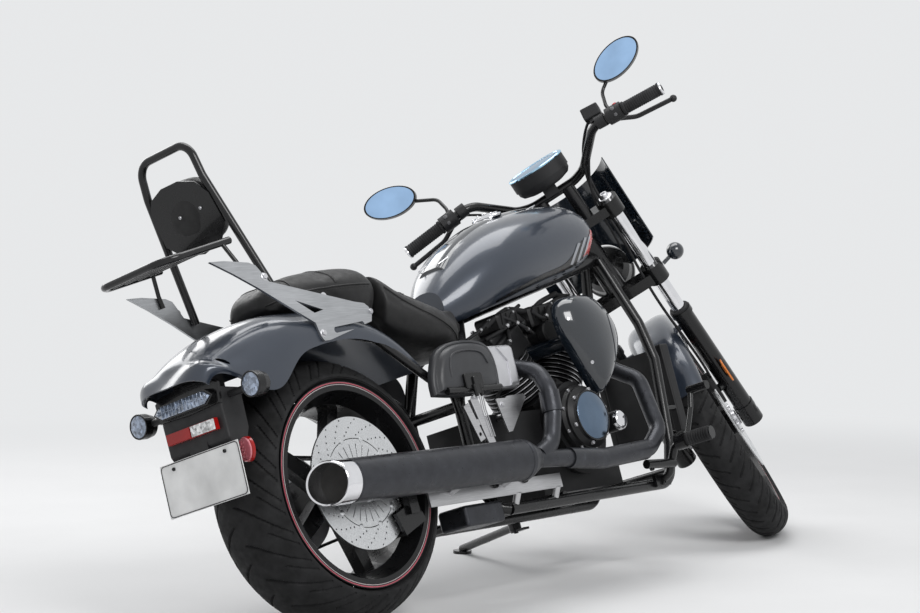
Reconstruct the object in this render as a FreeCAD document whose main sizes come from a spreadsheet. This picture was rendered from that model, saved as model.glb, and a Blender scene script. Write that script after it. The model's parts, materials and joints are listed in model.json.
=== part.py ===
import FreeCAD, Part
import Sketcher
import math
import os
import re
from FreeCAD import Placement, Rotation, Vector

# Cruiser motorcycle, parked on its side stand with the steering on its left stop.
# Every sub-part is modelled on the upright motorcycle: X forward, Y left, Z up,
# origin on the ground under the rear axle. Its Placement then turns the steered
# pieces to the stop, leans the machine and moves the origin. Lengths in mm, angles
# in degrees.

SIZES = [
    # alias, value, meaning
    ("wheel_base", 1750, "rear axle to front axle, steering straight"),
    ("lean_angle", 18.25, "lean to the left on the side stand"),
    ("stop_angle", 32.8, "steering angle of the left stop"),
    ("head_angle", 33.4, "steering axis from vertical"),
    ("trail", 109, "steering axis on the ground ahead of the front axle"),
    ("fork_angle", 40.5, "fork legs from vertical, raked clamps"),
    ("fork_spread", 116, "fork leg from the middle plane"),
    ("rear_tyre_radius", 312.6, "rear tyre outside radius"),
    ("rear_tyre_width", 210, "rear tyre section width"),
    ("rear_crown", 127, "rear tread crown radius"),
    ("rear_bead", 228.6, "rear bead seat radius"),
    ("rear_rim_width", 200, "rear rim over its flanges"),
    ("front_tyre_radius", 350.7, "front tyre outside radius"),
    ("front_tyre_width", 120, "front tyre section width"),
    ("front_crown", 62, "front tread crown radius"),
    ("front_bead", 266.7, "front bead seat radius"),
    ("front_rim_width", 104, "front rim over its flanges"),
    ("tyre_wall", 11, "tyre wall thickness"),
    ("flange_height", 13, "rim flange above the bead seat"),
    ("rim_wall", 8, "rim barrel thickness"),
    ("well_depth", 22, "drop centre of the rims"),
    ("spoke_count", 5, "cast spokes per wheel"),
    ("spoke_width", 46, "spoke width at the hub"),
    ("spoke_tip", 30, "spoke width at the rim"),
    ("spoke_depth", 34, "spoke depth along the axle"),
    ("rear_hub_radius", 52, "rear hub radius"),
    ("front_hub_radius", 40, "front hub radius"),
    ("axle_radius", 11, "wheel axles"),
    ("running_fit", 0.1, "radial clearance of a shaft in its bore"),
    ("seat_gap", 0.3, "gap between pieces seated on each other"),
    ("disc_thick", 5, "brake disc thickness"),
    ("disc_slots", 20, "slots round each brake disc"),
    ("rear_disc_radius", 155, "rear brake disc radius"),
    ("front_disc_radius", 160, "front brake disc radius"),
    ("rear_disc_y", 104, "inner face of the rear disc, on the right"),
    ("front_disc_y", 66, "inner face of the front disc, on the right"),
    ("pulley_radius", 112, "rear belt pulley radius"),
    ("pulley_y", 110, "inner face of the rear pulley, on the left"),
    ("belt_width", 24, "drive belt width"),
    ("belt_thick", 6, "drive belt thickness"),
    ("front_pulley_radius", 42, "front belt pulley radius"),
    ("front_pulley_x", 545, "front belt pulley ahead of the rear axle"),
    ("front_pulley_z", 330, "front belt pulley above the ground"),
    ("arm_thick", 28, "swingarm tube width"),
    ("arm_depth", 52, "swingarm tube depth"),
    ("right_arm_y", 131, "right swingarm tube from the middle plane"),
    ("left_arm_y", 158, "left swingarm tube from the middle plane"),
    ("pivot_x", 440, "swingarm pivot ahead of the rear axle"),
    ("pivot_z", 325, "swingarm pivot above the ground"),
    ("pivot_radius", 10, "swingarm pivot pin radius"),
    ("pivot_plate_y", 84, "frame's pivot tube from the middle plane"),
    ("rail_radius", 15, "cradle tube radius"),
    ("rail_y", 128, "lower cradle tube from the middle plane"),
    ("rail_z", 196, "lower cradle tube above the ground"),
    ("mount_radius", 10, "engine mount cross tube radius"),
    ("mount_lift", 12, "engine mount cross tubes above the cradle tubes"),
    ("backbone_radius", 25, "backbone tube radius"),
    ("head_tube_radius", 32, "steering head tube radius"),
    ("stem_radius", 15, "steering stem radius"),
    ("subframe_radius", 11, "fender rail radius"),
    ("fork_tube_radius", 20.5, "fork stanchion radius"),
    ("slider_radius", 28, "fork slider radius"),
    ("clamp_height", 57, "lower fork clamp height"),
    ("upper_clamp_height", 50, "upper fork clamp height"),
    ("crank_x", 860, "crankshaft ahead of the rear axle"),
    ("crank_z", 375, "crankshaft above the ground"),
    ("bank_angle", 30, "each cylinder from vertical"),
    ("case_half_width", 150, "crankcase half width at the round covers"),
    ("case_step", 44, "covers' seats out of the crankcase"),
    ("barrel_radius", 58, "cylinder barrel radius"),
    ("fin_radius", 80, "cooling fin radius"),
    ("fin_pitch", 13, "cooling fin spacing"),
    ("fin_thick", 3.5, "cooling fin thickness"),
    ("deck_height", 128, "crankshaft to cylinder base"),
    ("head_base", 236, "crankshaft to cylinder head"),
    ("head_top", 312, "crankshaft to the head's top"),
    ("clutch_radius", 88, "clutch cover radius"),
    ("clutch_x", 816, "clutch cover ahead of the rear axle"),
    ("clutch_z", 391, "clutch cover above the ground"),
    ("clutch_reach", 46, "clutch cover out of the crankcase"),
    ("radiator_x", 1310, "radiator's rear face"),
    ("pipe_radius", 22, "exhaust pipe radius"),
    ("pipe_shield", 4, "heat shields proud of the exhaust pipe"),
    ("silencer_radius", 50, "silencer radius"),
    ("silencer_y", 204, "silencer from the middle plane"),
    ("silencer_tip_x", -189, "silencer tip"),
    ("silencer_joint_x", 521, "silencer front end"),
    ("silencer_z", 300, "silencer's front end above the ground"),
    ("silencer_rise", 8, "silencer tip above its front end"),
    ("silencer_wall", 8, "silencer wall at the outlet"),
    ("outlet_depth", 140, "open length of the silencer's outlet"),
    ("sheet_wall", 3, "fender and cover wall thickness"),
    ("fender_half_width", 150, "rear fender half width"),
    ("front_fender_half_width", 76, "front fender half width"),
    ("plate_width", 257, "number plate width"),
    ("plate_height", 120, "number plate height"),
    ("plate_thick", 1.5, "number plate thickness"),
    ("plate_x", -372, "number plate"),
    ("plate_z", 320, "number plate lower edge"),
    ("side_plate_thick", 6, "backrest side plate thickness"),
    ("hoop_radius", 9.5, "backrest hoop tube radius"),
    ("rack_radius", 8.5, "luggage rack loop tube radius"),
    ("rack_bar_radius", 5.5, "luggage rack crossbar radius"),
    ("lamp_radius", 72, "headlamp housing radius"),
    ("bar_radius", 12.7, "handlebar radius"),
    ("bar_wall", 3.5, "handlebar tube wall at its open ends"),
    ("bar_bore_depth", 60, "open length of the handlebar's ends"),
    ("bar_stub", 4, "handlebar past the grips"),
    ("grip_radius", 17, "grip radius"),
    ("grip_outer", 404, "grip end from the middle plane"),
    ("grip_inner", 292, "grip inner end from the middle plane"),
    ("peg_radius", 17, "foot peg radius"),
    ("peg_free", 76, "foot peg past its collar"),
    ("peg_collar", 30, "foot peg's collar"),
    ("stand_radius", 11, "side stand leg radius"),
    ("stand_x", 850, "side stand pivot ahead of the rear axle"),
    ("stand_y", 166, "side stand pivot from the middle plane"),
    ("stand_z", 176, "side stand pivot above the ground"),
    ("stand_pin", 6, "side stand pivot pin radius"),
    ("stand_eye", 18, "side stand eye height"),
    ("stand_eye_wall", 11, "side stand eye around its pin"),
    ("stand_ear_wall", 8, "frame's ears around the stand's pin"),
    ("foot_x", 985, "side stand foot on the ground"),
    ("foot_y", 500, "side stand foot to the left, on the ground"),
    ("foot_radius", 26, "side stand foot radius"),
]

doc = FreeCAD.newDocument("cruiser_motorcycle")
sheet = doc.addObject("Spreadsheet::Sheet", "sizes")
for row, (alias, value, meaning) in enumerate(SIZES, 1):
    sheet.set("A%d" % row, meaning)
    sheet.set("B%d" % row, str(value))
    sheet.setAlias("B%d" % row, alias)
doc.recompute()
ALIASES = {alias for alias, value, meaning in SIZES}
RIGHT, LEFT = -1, 1
UP = Vector(0, 0, 1)


def bound(text):
    """An expression on the sheet, with each alias given in full."""
    return re.sub(r"[a-z]\w*", lambda m: "sizes." + m.group() if m.group() in ALIASES else m.group(), text)


def size(text):
    """The value of an expression in the sheet's aliases."""
    return float(sheet.evalExpression(re.sub(r"\b([a-z]\w*)",
                                             lambda m: "." + m.group() if m.group() in ALIASES
                                             else m.group(), text)))


# The steering axis and the fork legs

HEAD = math.radians(size("head_angle"))
FORK = math.radians(size("fork_angle"))
STEER_FOOT = Vector(size("wheel_base") + size("trail"), 0, 0)
STEER_AXIS = Vector(-math.sin(HEAD), 0, math.cos(HEAD))
FORK_AXIS = Vector(-math.sin(FORK), 0, math.cos(FORK))
REAR_AXLE = Vector(0, 0, size("rear_tyre_radius"))
FENDER_RAIL_Y = size("fender_half_width - sheet_wall - subframe_radius - 5")
FRONT_AXLE = Vector(size("wheel_base"), 0, size("front_tyre_radius"))


def on_steer_axis(along):
    return STEER_FOOT + STEER_AXIS * along


def on_fork(along, side):
    return FRONT_AXLE + Vector(0, side * size("fork_spread"), 0) + FORK_AXIS * along


LOWER_CLAMP, UPPER_CLAMP = 548, 796


def steer_level(along):
    """Where the steering axis is level with a point of the fork legs."""
    return (on_fork(along, 0) - STEER_FOOT).dot(STEER_AXIS)


# The parked pose: both tyres touch the ground at the lean angle

TURN = Placement(Vector(), Rotation(STEER_AXIS, size("stop_angle")), STEER_FOOT)


def lean_by(pitch):
    return Rotation(Vector(1, 0, 0), -size("lean_angle")) * Rotation(Vector(0, 1, 0), pitch)


def tyre_low(rotation, centre, axle, radius, crown):
    axle = rotation.multVec(axle)
    return rotation.multVec(centre).z - (radius - crown) * math.sqrt(1 - axle.z ** 2) - crown


def wheel_lows(pitch):
    rotation = lean_by(pitch)
    rear = tyre_low(rotation, REAR_AXLE, Vector(0, 1, 0), size("rear_tyre_radius"), size("rear_crown"))
    front = tyre_low(rotation, TURN.multVec(FRONT_AXLE), TURN.Rotation.multVec(Vector(0, 1, 0)),
                     size("front_tyre_radius"), size("front_crown"))
    return rear, front


def parked_pitch():
    pitch = 0.0
    for turn in range(20):
        rear, front = wheel_lows(pitch)
        pitch += math.degrees((front - rear) / size("wheel_base"))
    return pitch


PITCH = parked_pitch()
LEAN = Placement(Vector(0, 0, -wheel_lows(PITCH)[0]), lean_by(PITCH))
nodes = []


def node(obj, name, steered=False):
    """Name a finished sub-part and note how it is placed."""
    obj.Label = name
    nodes.append((obj, name, steered))
    return obj


def shaped(name, shape, steered=False):
    obj = doc.addObject("Part::Feature", name)
    obj.Shape = shape
    return node(obj, name, steered)


# Shapes from Part's own functions, for tubes and lofts


def rod(start, end, radius):
    run = end - start
    return Part.makeCylinder(radius, run.Length, start, run)


def tube_path(points, bend):
    """Straight runs joined by tangent arcs."""
    edges = []
    at = points[0]
    for before, corner, after in zip(points, points[1:], points[2:]):
        back = (before - corner).normalize()
        ahead = (after - corner).normalize()
        half = back.getAngle(ahead) / 2
        room = 0.45 * min((before - corner).Length, (after - corner).Length)
        cut = min(bend / math.tan(half), room)
        radius = cut * math.tan(half)
        first = corner + back * cut
        last = corner + ahead * cut
        middle = (back + ahead).normalize()
        centre = corner + middle * (radius / math.sin(half))
        edges.append(Part.LineSegment(at, first).toShape())
        edges.append(Part.Arc(first, centre - middle * radius, last).toShape())
        at = last
    edges.append(Part.LineSegment(at, points[-1]).toShape())
    return Part.Wire(edges)


def tube(points, radius, bend=60):
    points = [Vector(*p) for p in points]
    path = tube_path(points, bend)
    ring = Part.Wire(Part.makeCircle(radius, points[0], points[1] - points[0]))
    return path.makePipeShell([ring], True, False)


def fuse(shapes):
    whole = shapes[0].multiFuse(shapes[1:]) if len(shapes) > 1 else shapes[0]
    return whole.removeSplitter()


def largest(shape):
    """The main solid, without the crumbs that a cut leaves."""
    return max(shape.Solids, key=lambda solid: solid.Volume)


def mirrored(shape):
    return shape.mirror(Vector(), Vector(0, 1, 0))


def both_sides(shape):
    return Part.makeCompound([shape, mirrored(shape)])


def slab(length, width, height, centre, rotation=None):
    box = Part.makeBox(length, width, height, Vector(-length / 2, -width / 2, -height / 2))
    box.Placement = Placement(Vector(*centre), rotation or Rotation())
    return box


def outline_solid(points, y_from, y_to):
    """A flat outline given as (x, z), padded along Y."""
    corners = [Vector(x, y_from, z) for x, z in points]
    face = Part.Face(Part.makePolygon(corners + corners[:1]))
    return face.extrude(Vector(0, y_to - y_from, 0))


def softened(shape, radius, where=None):
    """The shape with its edges rounded, all of them or those that a test picks."""
    return shape.makeFillet(radius, [edge for edge in shape.Edges if where is None or where(edge)])


def turned(profile, centre, axis):
    """A closed profile of (radius, along), turned about an axis."""
    corners = [Vector(radius, 0, along) for radius, along in profile]
    face = Part.Face(Part.makePolygon(corners + corners[:1]))
    whole = face.revolve(Vector(), UP, 360)
    whole.Placement = Placement(centre, Rotation(UP, axis))
    return whole


# PartDesign helpers


def new_body(name):
    body = doc.addObject("PartDesign::Body", name)
    return body


def sketch_on(body, role, name):
    sketch = body.newObject("Sketcher::SketchObject", name)
    plane = next(f for f in body.Origin.OriginFeatures if f.Role == role)
    sketch.AttachmentSupport = [(plane, "")]
    sketch.MapMode = "FlatFace"
    return sketch


def left_hand_arc(start, middle, end):
    """The arc through three points, drawn anticlockwise, and whether its ends swapped."""
    guide = Part.Circle(start, middle, end)
    flipped = (middle - start).cross(end - middle).z < 0
    first, last = (end, start) if flipped else (start, end)
    turn_from = math.atan2(first.y - guide.Center.y, first.x - guide.Center.x)
    turn_to = math.atan2(last.y - guide.Center.y, last.x - guide.Center.x)
    if turn_to < turn_from:
        turn_to += 2 * math.pi
    return Part.ArcOfCircle(Part.Circle(guide.Center, UP, guide.Radius), turn_from, turn_to), flipped


def draw_profile(sketch, corners):
    """A closed outline; a corner is (across, up) or (across, up, arc across, arc up),
    where the last two are a point of the arc that leads to the next corner."""
    count = len(corners)
    flat = [Vector(size(c[0]), size(c[1]), 0) for c in corners]
    ends = []
    for i, corner in enumerate(corners):
        start, end = flat[i], flat[(i + 1) % count]
        if len(corner) == 4:
            edge, flipped = left_hand_arc(start, Vector(size(corner[2]), size(corner[3]), 0), end)
        else:
            edge, flipped = Part.LineSegment(start, end), False
        sketch.addGeometry(edge, False)
        ends.append((2, 1) if flipped else (1, 2))
    rules = []
    for i, corner in enumerate(corners):
        after = (i + 1) % count
        rules.append((Sketcher.Constraint("Coincident", i, ends[i][1], after, ends[after][0]), None))
        for kind, text in (("DistanceX", corner[0]), ("DistanceY", corner[1])):
            rules.append((Sketcher.Constraint(kind, -1, 1, i, ends[i][0], size(text)), text))
        if len(corner) == 4:
            rules.append((Sketcher.Constraint("Radius", i, sketch.Geometry[i].Radius), None))
    sketch.addConstraint([rule for rule, text in rules])
    for index, (rule, text) in enumerate(rules):
        if text:
            sketch.setExpression("Constraints[%d]" % index, bound(text))


def revolve(body, sketch, name):
    turned = body.newObject("PartDesign::Revolution", name)
    turned.Profile = sketch
    turned.ReferenceAxis = (sketch, ["V_Axis"])
    turned.Angle = 360
    return turned


def pad(body, sketch, length, name, both_ways=False, reverse=False):
    grown = body.newObject("PartDesign::Pad", name)
    grown.Profile = sketch
    grown.setExpression("Length", bound(length))
    grown.Midplane = both_ways
    grown.Reversed = reverse
    return grown


def repeat_round(body, feature, count, name):
    pattern = body.newObject("PartDesign::PolarPattern", name)
    pattern.Originals = [feature]
    pattern.Axis = (feature.Profile[0], ["N_Axis"])
    pattern.Angle = 360
    pattern.setExpression("Occurrences", bound(count))
    body.Tip = pattern
    return pattern


# Wheels: modelled about the axle as their own Z axis, which points to the left

WHEEL_UP = Rotation(Vector(1, 0, 0), -90)


def tyre(end):
    """Hollow carcass: crown arc, side walls and beads."""
    radius, width, crown = end + "_tyre_radius", end + "_tyre_width", end + "_crown"
    bead, rim = end + "_bead", end + "_rim_width"
    body = new_body(end + "_tyre")
    sketch = sketch_on(body, "XZ_Plane", end + "_tyre_section")
    shoulder = "%s - %s + sqrt(%s ^ 2 - (%s / 2 - 1) ^ 2)" % (radius, crown, crown, width)
    inner = "(%s - tyre_wall)" % crown
    under = "%s - %s + sqrt(%s ^ 2 - (%s / 2 - tyre_wall) ^ 2)" % (radius, crown, inner, width)
    foot = "(%s / 2 - 9)" % rim
    wide = "(%s / 2 - 1)" % width
    tuck = "(%s / 2 - tyre_wall)" % width
    draw_profile(sketch, [
        ("%s + seat_gap" % bead, "-%s" % foot),
        ("%s + flange_height + 2" % bead, "-%s" % foot),
        (shoulder, "-%s" % wide, radius, "0"),
        (shoulder, wide),
        ("%s + flange_height + 2" % bead, foot),
        ("%s + seat_gap" % bead, foot),
        ("%s + seat_gap" % bead, "%s - 16" % foot),
        (under, tuck, "%s - tyre_wall" % radius, "0"),
        (under, "-%s" % tuck),
        ("%s + seat_gap" % bead, "-(%s - 16)" % foot),
    ])
    revolve(body, sketch, end + "_tyre_turned")
    return body


def cast_rim(end, hub, hub_right, hub_left):
    """Barrel with flanges and drop centre, hub and cast spokes."""
    bead, rim = end + "_bead", end + "_rim_width"
    body = new_body(end + "_rim")
    sketch = sketch_on(body, "XZ_Plane", end + "_rim_section")
    flange = "(%s / 2 - 8)" % rim
    seat = "(%s / 2 - 30)" % rim
    well = "(%s / 2 - 40)" % rim
    draw_profile(sketch, [
        ("%s + flange_height" % bead, "-%s / 2" % rim),
        ("%s + flange_height" % bead, "-%s" % flange),
        (bead, "-%s" % flange),
        (bead, "-%s" % seat),
        ("%s - well_depth" % bead, "-%s" % well),
        ("%s - well_depth" % bead, well),
        (bead, seat),
        (bead, flange),
        ("%s + flange_height" % bead, flange),
        ("%s + flange_height" % bead, "%s / 2" % rim),
        ("%s - rim_wall" % bead, "%s / 2" % rim),
        ("%s - rim_wall - well_depth" % bead, "%s - 4" % well),
        ("%s - rim_wall - well_depth" % bead, "4 - %s" % well),
        ("%s - rim_wall" % bead, "-%s / 2" % rim),
    ])
    revolve(body, sketch, end + "_barrel")
    sketch = sketch_on(body, "XZ_Plane", end + "_hub_section")
    draw_profile(sketch, [
        ("axle_radius + running_fit", "-(%s)" % hub_right),
        (hub, "-(%s)" % hub_right),
        (hub, hub_left),
        ("axle_radius + running_fit", hub_left),
    ])
    revolve(body, sketch, end + "_hub")
    sketch = sketch_on(body, "XY_Plane", end + "_spoke_outline")
    draw_profile(sketch, [
        ("%s - 6" % hub, "-spoke_width / 2"),
        ("%s - well_depth - 4" % bead, "-spoke_tip / 2"),
        ("%s - well_depth - 4" % bead, "spoke_tip / 2"),
        ("%s - 6" % hub, "spoke_width / 2"),
    ])
    spoke = pad(body, sketch, "spoke_depth", end + "_spoke", both_ways=True)
    repeat_round(body, spoke, "spoke_count", end + "_spokes")
    return body


def disc(end, inner_y):
    """Friction ring on its carrier, on the right of the wheel."""
    radius = end + "_disc_radius"
    body = new_body(end + "_disc")
    sketch = sketch_on(body, "XZ_Plane", end + "_disc_section")
    draw_profile(sketch, [
        ("axle_radius + 8", "-(%s)" % inner_y),
        (radius, "-(%s)" % inner_y),
        (radius, "-(%s + disc_thick)" % inner_y),
        ("axle_radius + 8", "-(%s + disc_thick)" % inner_y),
    ])
    revolve(body, sketch, end + "_disc_turned")
    sketch = sketch_on(body, "XY_Plane", end + "_disc_slot")
    draw_profile(sketch, [(radius + " * 0.42", "-3"), (radius + " * 0.62", "3"), (radius + " * 0.62", "8"),
                          (radius + " * 0.42", "2")])
    slot = body.newObject("PartDesign::Pocket", end + "_disc_slot_cut")
    slot.Profile = sketch
    slot.Type = 1
    slot.Midplane = True
    repeat_round(body, slot, "disc_slots", end + "_disc_slots")
    return body


def pulley():
    body = new_body("rear_pulley")
    sketch = sketch_on(body, "XZ_Plane", "rear_pulley_section")
    draw_profile(sketch, [
        ("axle_radius + 8", "pulley_y"),
        ("pulley_radius + 5", "pulley_y"),
        ("pulley_radius + 5", "pulley_y + 2"),
        ("pulley_radius", "pulley_y + 2"),
        ("pulley_radius", "pulley_y + belt_width + 3"),
        ("pulley_radius - 12", "pulley_y + belt_width + 3"),
        ("pulley_radius - 18", "pulley_y + 8"),
        ("axle_radius + 8", "pulley_y + 8"),
    ])
    revolve(body, sketch, "rear_pulley_turned")
    return body


def wheel_part(body, name, axle, steered):
    body.Placement = Placement(axle, WHEEL_UP)
    node(body, name, steered)


wheel_part(tyre("rear"), "rear_tyre", REAR_AXLE, False)
wheel_part(cast_rim("rear", "rear_hub_radius", "rear_disc_y", "pulley_y"), "rear_rim", REAR_AXLE, False)
wheel_part(disc("rear", "rear_disc_y"), "rear_disc", REAR_AXLE, False)
wheel_part(pulley(), "rear_pulley", REAR_AXLE, False)
wheel_part(tyre("front"), "front_tyre", FRONT_AXLE, True)
wheel_part(cast_rim("front", "front_hub_radius", "front_disc_y", "front_disc_y"), "front_rim", FRONT_AXLE,
           True)
wheel_part(disc("front", "front_disc_y"), "front_disc", FRONT_AXLE, True)


# Axles and swingarm

AXLE_REACH = 3
BELT_ROOM = 4


def run_slot(reach):
    """Length of the window in the swingarm's cross tube that the belt runs through."""
    return 2 * reach


def rear_axle():
    """The spindle lies between the swingarm's outer faces, with a head and a nut."""
    right = size("right_arm_y + arm_thick / 2")
    left = size("left_arm_y + arm_thick / 2")
    spindle = rod(REAR_AXLE + Vector(0, -right - AXLE_REACH, 0), REAR_AXLE + Vector(0, left + 14, 0),
                  size("axle_radius"))
    nut = rod(REAR_AXLE + Vector(0, left + size("seat_gap"), 0), REAR_AXLE + Vector(0, left + 12, 0), 17)
    return fuse([spindle, nut])


def swingarm():
    thick, depth = size("arm_thick"), size("arm_depth")
    pivot = Vector(size("pivot_x"), 0, size("pivot_z"))
    arms = []
    for y in (-size("right_arm_y"), size("left_arm_y")):
        arms.append(outline_solid([
            (pivot.x + 26, pivot.z - depth / 2), (pivot.x + 26, pivot.z + depth / 2),
            (-20, REAR_AXLE.z + depth / 2), (-48, REAR_AXLE.z + 8), (-48, REAR_AXLE.z - 8),
            (-20, REAR_AXLE.z - depth / 2)], y - thick / 2, y + thick / 2))
    wide = size("left_arm_y") + thick / 2
    cross = slab(36, wide + size("right_arm_y") + thick / 2, depth - 8,
                 (pivot.x - 76, (wide - size("right_arm_y") - thick / 2) / 2, pivot.z))
    whole = fuse(arms + [cross])
    bore = rod(REAR_AXLE - Vector(0, 200, 0), REAR_AXLE + Vector(0, 200, 0),
               size("axle_radius + running_fit"))
    pin = rod(pivot - Vector(0, 210, 0), pivot + Vector(0, 210, 0), size("pivot_radius + running_fit"))
    slot = slab(run_slot(pivot.x), size("belt_width") + 2 * BELT_ROOM, 2 * depth,
                (pivot.x / 2, size("pulley_y + 3 + belt_width / 2"), pivot.z))
    return whole.cut(bore).cut(pin).cut(slot)


shaped("rear_axle", rear_axle())
shaped("swingarm", swingarm())


def drive_belt():
    """A taut loop round both pulleys."""
    y_from = size("pulley_y") + 3
    rear, front = REAR_AXLE, Vector(size("front_pulley_x"), 0, size("front_pulley_z"))
    run = Vector(front.x - rear.x, 0, front.z - rear.z)

    def loop(grow):
        big, small = size("pulley_radius") + grow, size("front_pulley_radius") + grow
        tilt = math.atan2(run.z, run.x)
        open_angle = math.acos((big - small) / run.Length)
        edges = []
        spots = []
        for centre, radius in ((rear, big), (front, small)):
            for sign in (1, -1):
                angle = tilt + sign * open_angle
                spots.append(Vector(centre.x + radius * math.cos(angle), y_from,
                                    centre.z + radius * math.sin(angle)))
        rear_back = Vector(rear.x - big * math.cos(tilt), y_from, rear.z - big * math.sin(tilt))
        front_nose = Vector(front.x + small * math.cos(tilt), y_from, front.z + small * math.sin(tilt))
        edges.append(Part.Arc(spots[1], rear_back, spots[0]).toShape())
        edges.append(Part.LineSegment(spots[0], spots[2]).toShape())
        edges.append(Part.Arc(spots[2], front_nose, spots[3]).toShape())
        edges.append(Part.LineSegment(spots[3], spots[1]).toShape())
        face = Part.Face(Part.Wire(edges))
        return face.extrude(Vector(0, size("belt_width"), 0))

    gap = size("seat_gap")
    belt = loop(gap + size("belt_thick")).cut(loop(gap))
    drum = Part.makeCylinder(size("front_pulley_radius"), size("belt_width"), front + Vector(0, y_from, 0),
                             Vector(0, 1, 0))
    shaft = rod(front + Vector(0, size("case_half_width - case_step + seat_gap"), 0),
                front + Vector(0, y_from, 0), 14)
    return Part.makeCompound([belt, fuse([drum, shaft])])


# Side stand: its leg ends in a foot that lies flat on the ground. It swings back
# about a steep pin until it lies along the cradle.

STAND_PIVOT = Vector(size("stand_x"), size("stand_y"), size("stand_z"))
STAND_SOLE = LEAN.inverse().multVec(Vector(size("foot_x"), size("foot_y"), 0))
STAND_UP = LEAN.inverse().Rotation.multVec(UP)
STAND_OUT = (STAND_SOLE + STAND_UP * 12 - STAND_PIVOT).normalize()
STAND_STOWED = Vector(-0.98, 0.2, 0).normalize()
STAND_AXIS = STAND_OUT.cross(STAND_STOWED).normalize()
STAND_SWING = math.degrees(STAND_OUT.getAngle(STAND_STOWED))


def side_stand():
    tall = size("stand_eye")
    foot = Part.makeCylinder(size("foot_radius"), 8, STAND_SOLE, STAND_UP)
    eye_radius = size("stand_pin + stand_eye_wall")
    leg = rod(STAND_PIVOT + STAND_OUT * (eye_radius - 2), STAND_SOLE + STAND_UP * 12, size("stand_radius"))
    eye = rod(STAND_PIVOT - STAND_AXIS * tall / 2, STAND_PIVOT + STAND_AXIS * tall / 2, eye_radius)
    pin = rod(STAND_PIVOT - STAND_AXIS * 40, STAND_PIVOT + STAND_AXIS * 40, size("stand_pin + running_fit"))
    return fuse([foot, leg, eye]).cut(pin)


def stand_bracket():
    """Fork of the frame above and below the stand's eye, with the pivot pin."""
    tall = size("stand_eye") + 2 * size("seat_gap")
    reach = size("stand_y - rail_y")
    square = Rotation(UP, STAND_AXIS)
    ears = []
    for side in (-1, 1):
        ear_at = STAND_PIVOT + STAND_AXIS * side * (tall / 2 + 3)
        ears.append(rod(ear_at - STAND_AXIS * 3, ear_at + STAND_AXIS * 3,
                        size("stand_pin + stand_ear_wall")))
        ears.append(slab(22, reach, 6, tuple(ear_at - square.multVec(Vector(0, reach / 2, 0))), square))
    pin = rod(STAND_PIVOT - STAND_AXIS * (tall / 2 + 9), STAND_PIVOT + STAND_AXIS * (tall / 2 + 9),
              size("stand_pin"))
    return ears + [pin]


SPINE_END = Vector(610, 0, 716)
SEAT_RAIL_LOW = (498, size("pivot_plate_y"), 604)
SEAT_RAIL_TOP = (606, 10, 700)


def frame():
    """Head tube, backbone, double cradle, pivot plates and fender rails."""
    rail = size("rail_radius")
    ry, rz = size("rail_y"), size("rail_z")
    px, py = size("pivot_x"), size("pivot_plate_y")
    head_low = on_steer_axis(steer_level(LOWER_CLAMP) + 35)
    head_high = on_steer_axis(steer_level(UPPER_CLAMP) - 40)
    head = rod(head_low, head_high, size("head_tube_radius"))
    neck = on_steer_axis(1040)
    backbone = rod(neck, SPINE_END, size("backbone_radius"))
    side = [
        tube([(1262, 24, 850), (1288, 84, 650), (1284, 108, 540), (1222, ry, 300), (1176, ry, rz),
              (1080, ry, rz)], rail),
        rod(Vector(1080, ry, rz), Vector(480, ry, rz), rail),
        tube([(480, ry, rz), (456, ry - 14, rz + 8), (px, py, 262), (px, py, 480), SEAT_RAIL_LOW,
              SEAT_RAIL_TOP], rail),
        tube([(px, py, 420), (px - 14, py + 2, 500), (400, py + 6, 530), (310, FENDER_RAIL_Y, 526),
              (236, FENDER_RAIL_Y, 574),
              (140, FENDER_RAIL_Y, 640), (20, FENDER_RAIL_Y, 662), (-70, FENDER_RAIL_Y, 656)],
             size("subframe_radius")),
        rod(Vector(px, 60, size("pivot_z")), Vector(px, py + 18, size("pivot_z")), 24),
    ]
    mount_z = rz + size("mount_lift")
    for lug_z, lug_x, lug_y in ((400, 1248, 112), (535, 1280, 106)):
        side.append(rod(Vector(lug_x, lug_y, lug_z), Vector(size("radiator_x - seat_gap"), lug_y, lug_z),
                        8))
    cross = [
        rod(Vector(712, -ry, mount_z), Vector(712, ry, mount_z), size("mount_radius")),
        rod(Vector(990, -ry, mount_z), Vector(990, ry, mount_z), size("mount_radius")),
        rod(Vector(1190, -ry, 226), Vector(1190, ry, 226), 12),
        rod(Vector(470, -ry, rz), Vector(470, ry, rz), 12),
        rod(Vector(px, -py, 470), Vector(px, py, 470), 14),
        rod(Vector(px, -size("right_arm_y") - 18, size("pivot_z")), Vector(px, size("left_arm_y") + 18,
                                                                           size("pivot_z")),
            size("pivot_radius")),
    ]
    whole = fuse(stand_bracket() + [head, backbone] + side + [mirrored(s) for s in side] + cross)
    return whole.cut(rod(on_steer_axis(900), on_steer_axis(1120), size("stem_radius + running_fit")))


FRAME = frame()
shaped("frame", FRAME)

# Engine


def bank_direction(sign):
    angle = math.radians(size("bank_angle"))
    return Vector(sign * math.sin(angle), 0, math.cos(angle))


CRANK = Vector(size("crank_x"), 0, size("crank_z"))


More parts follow.
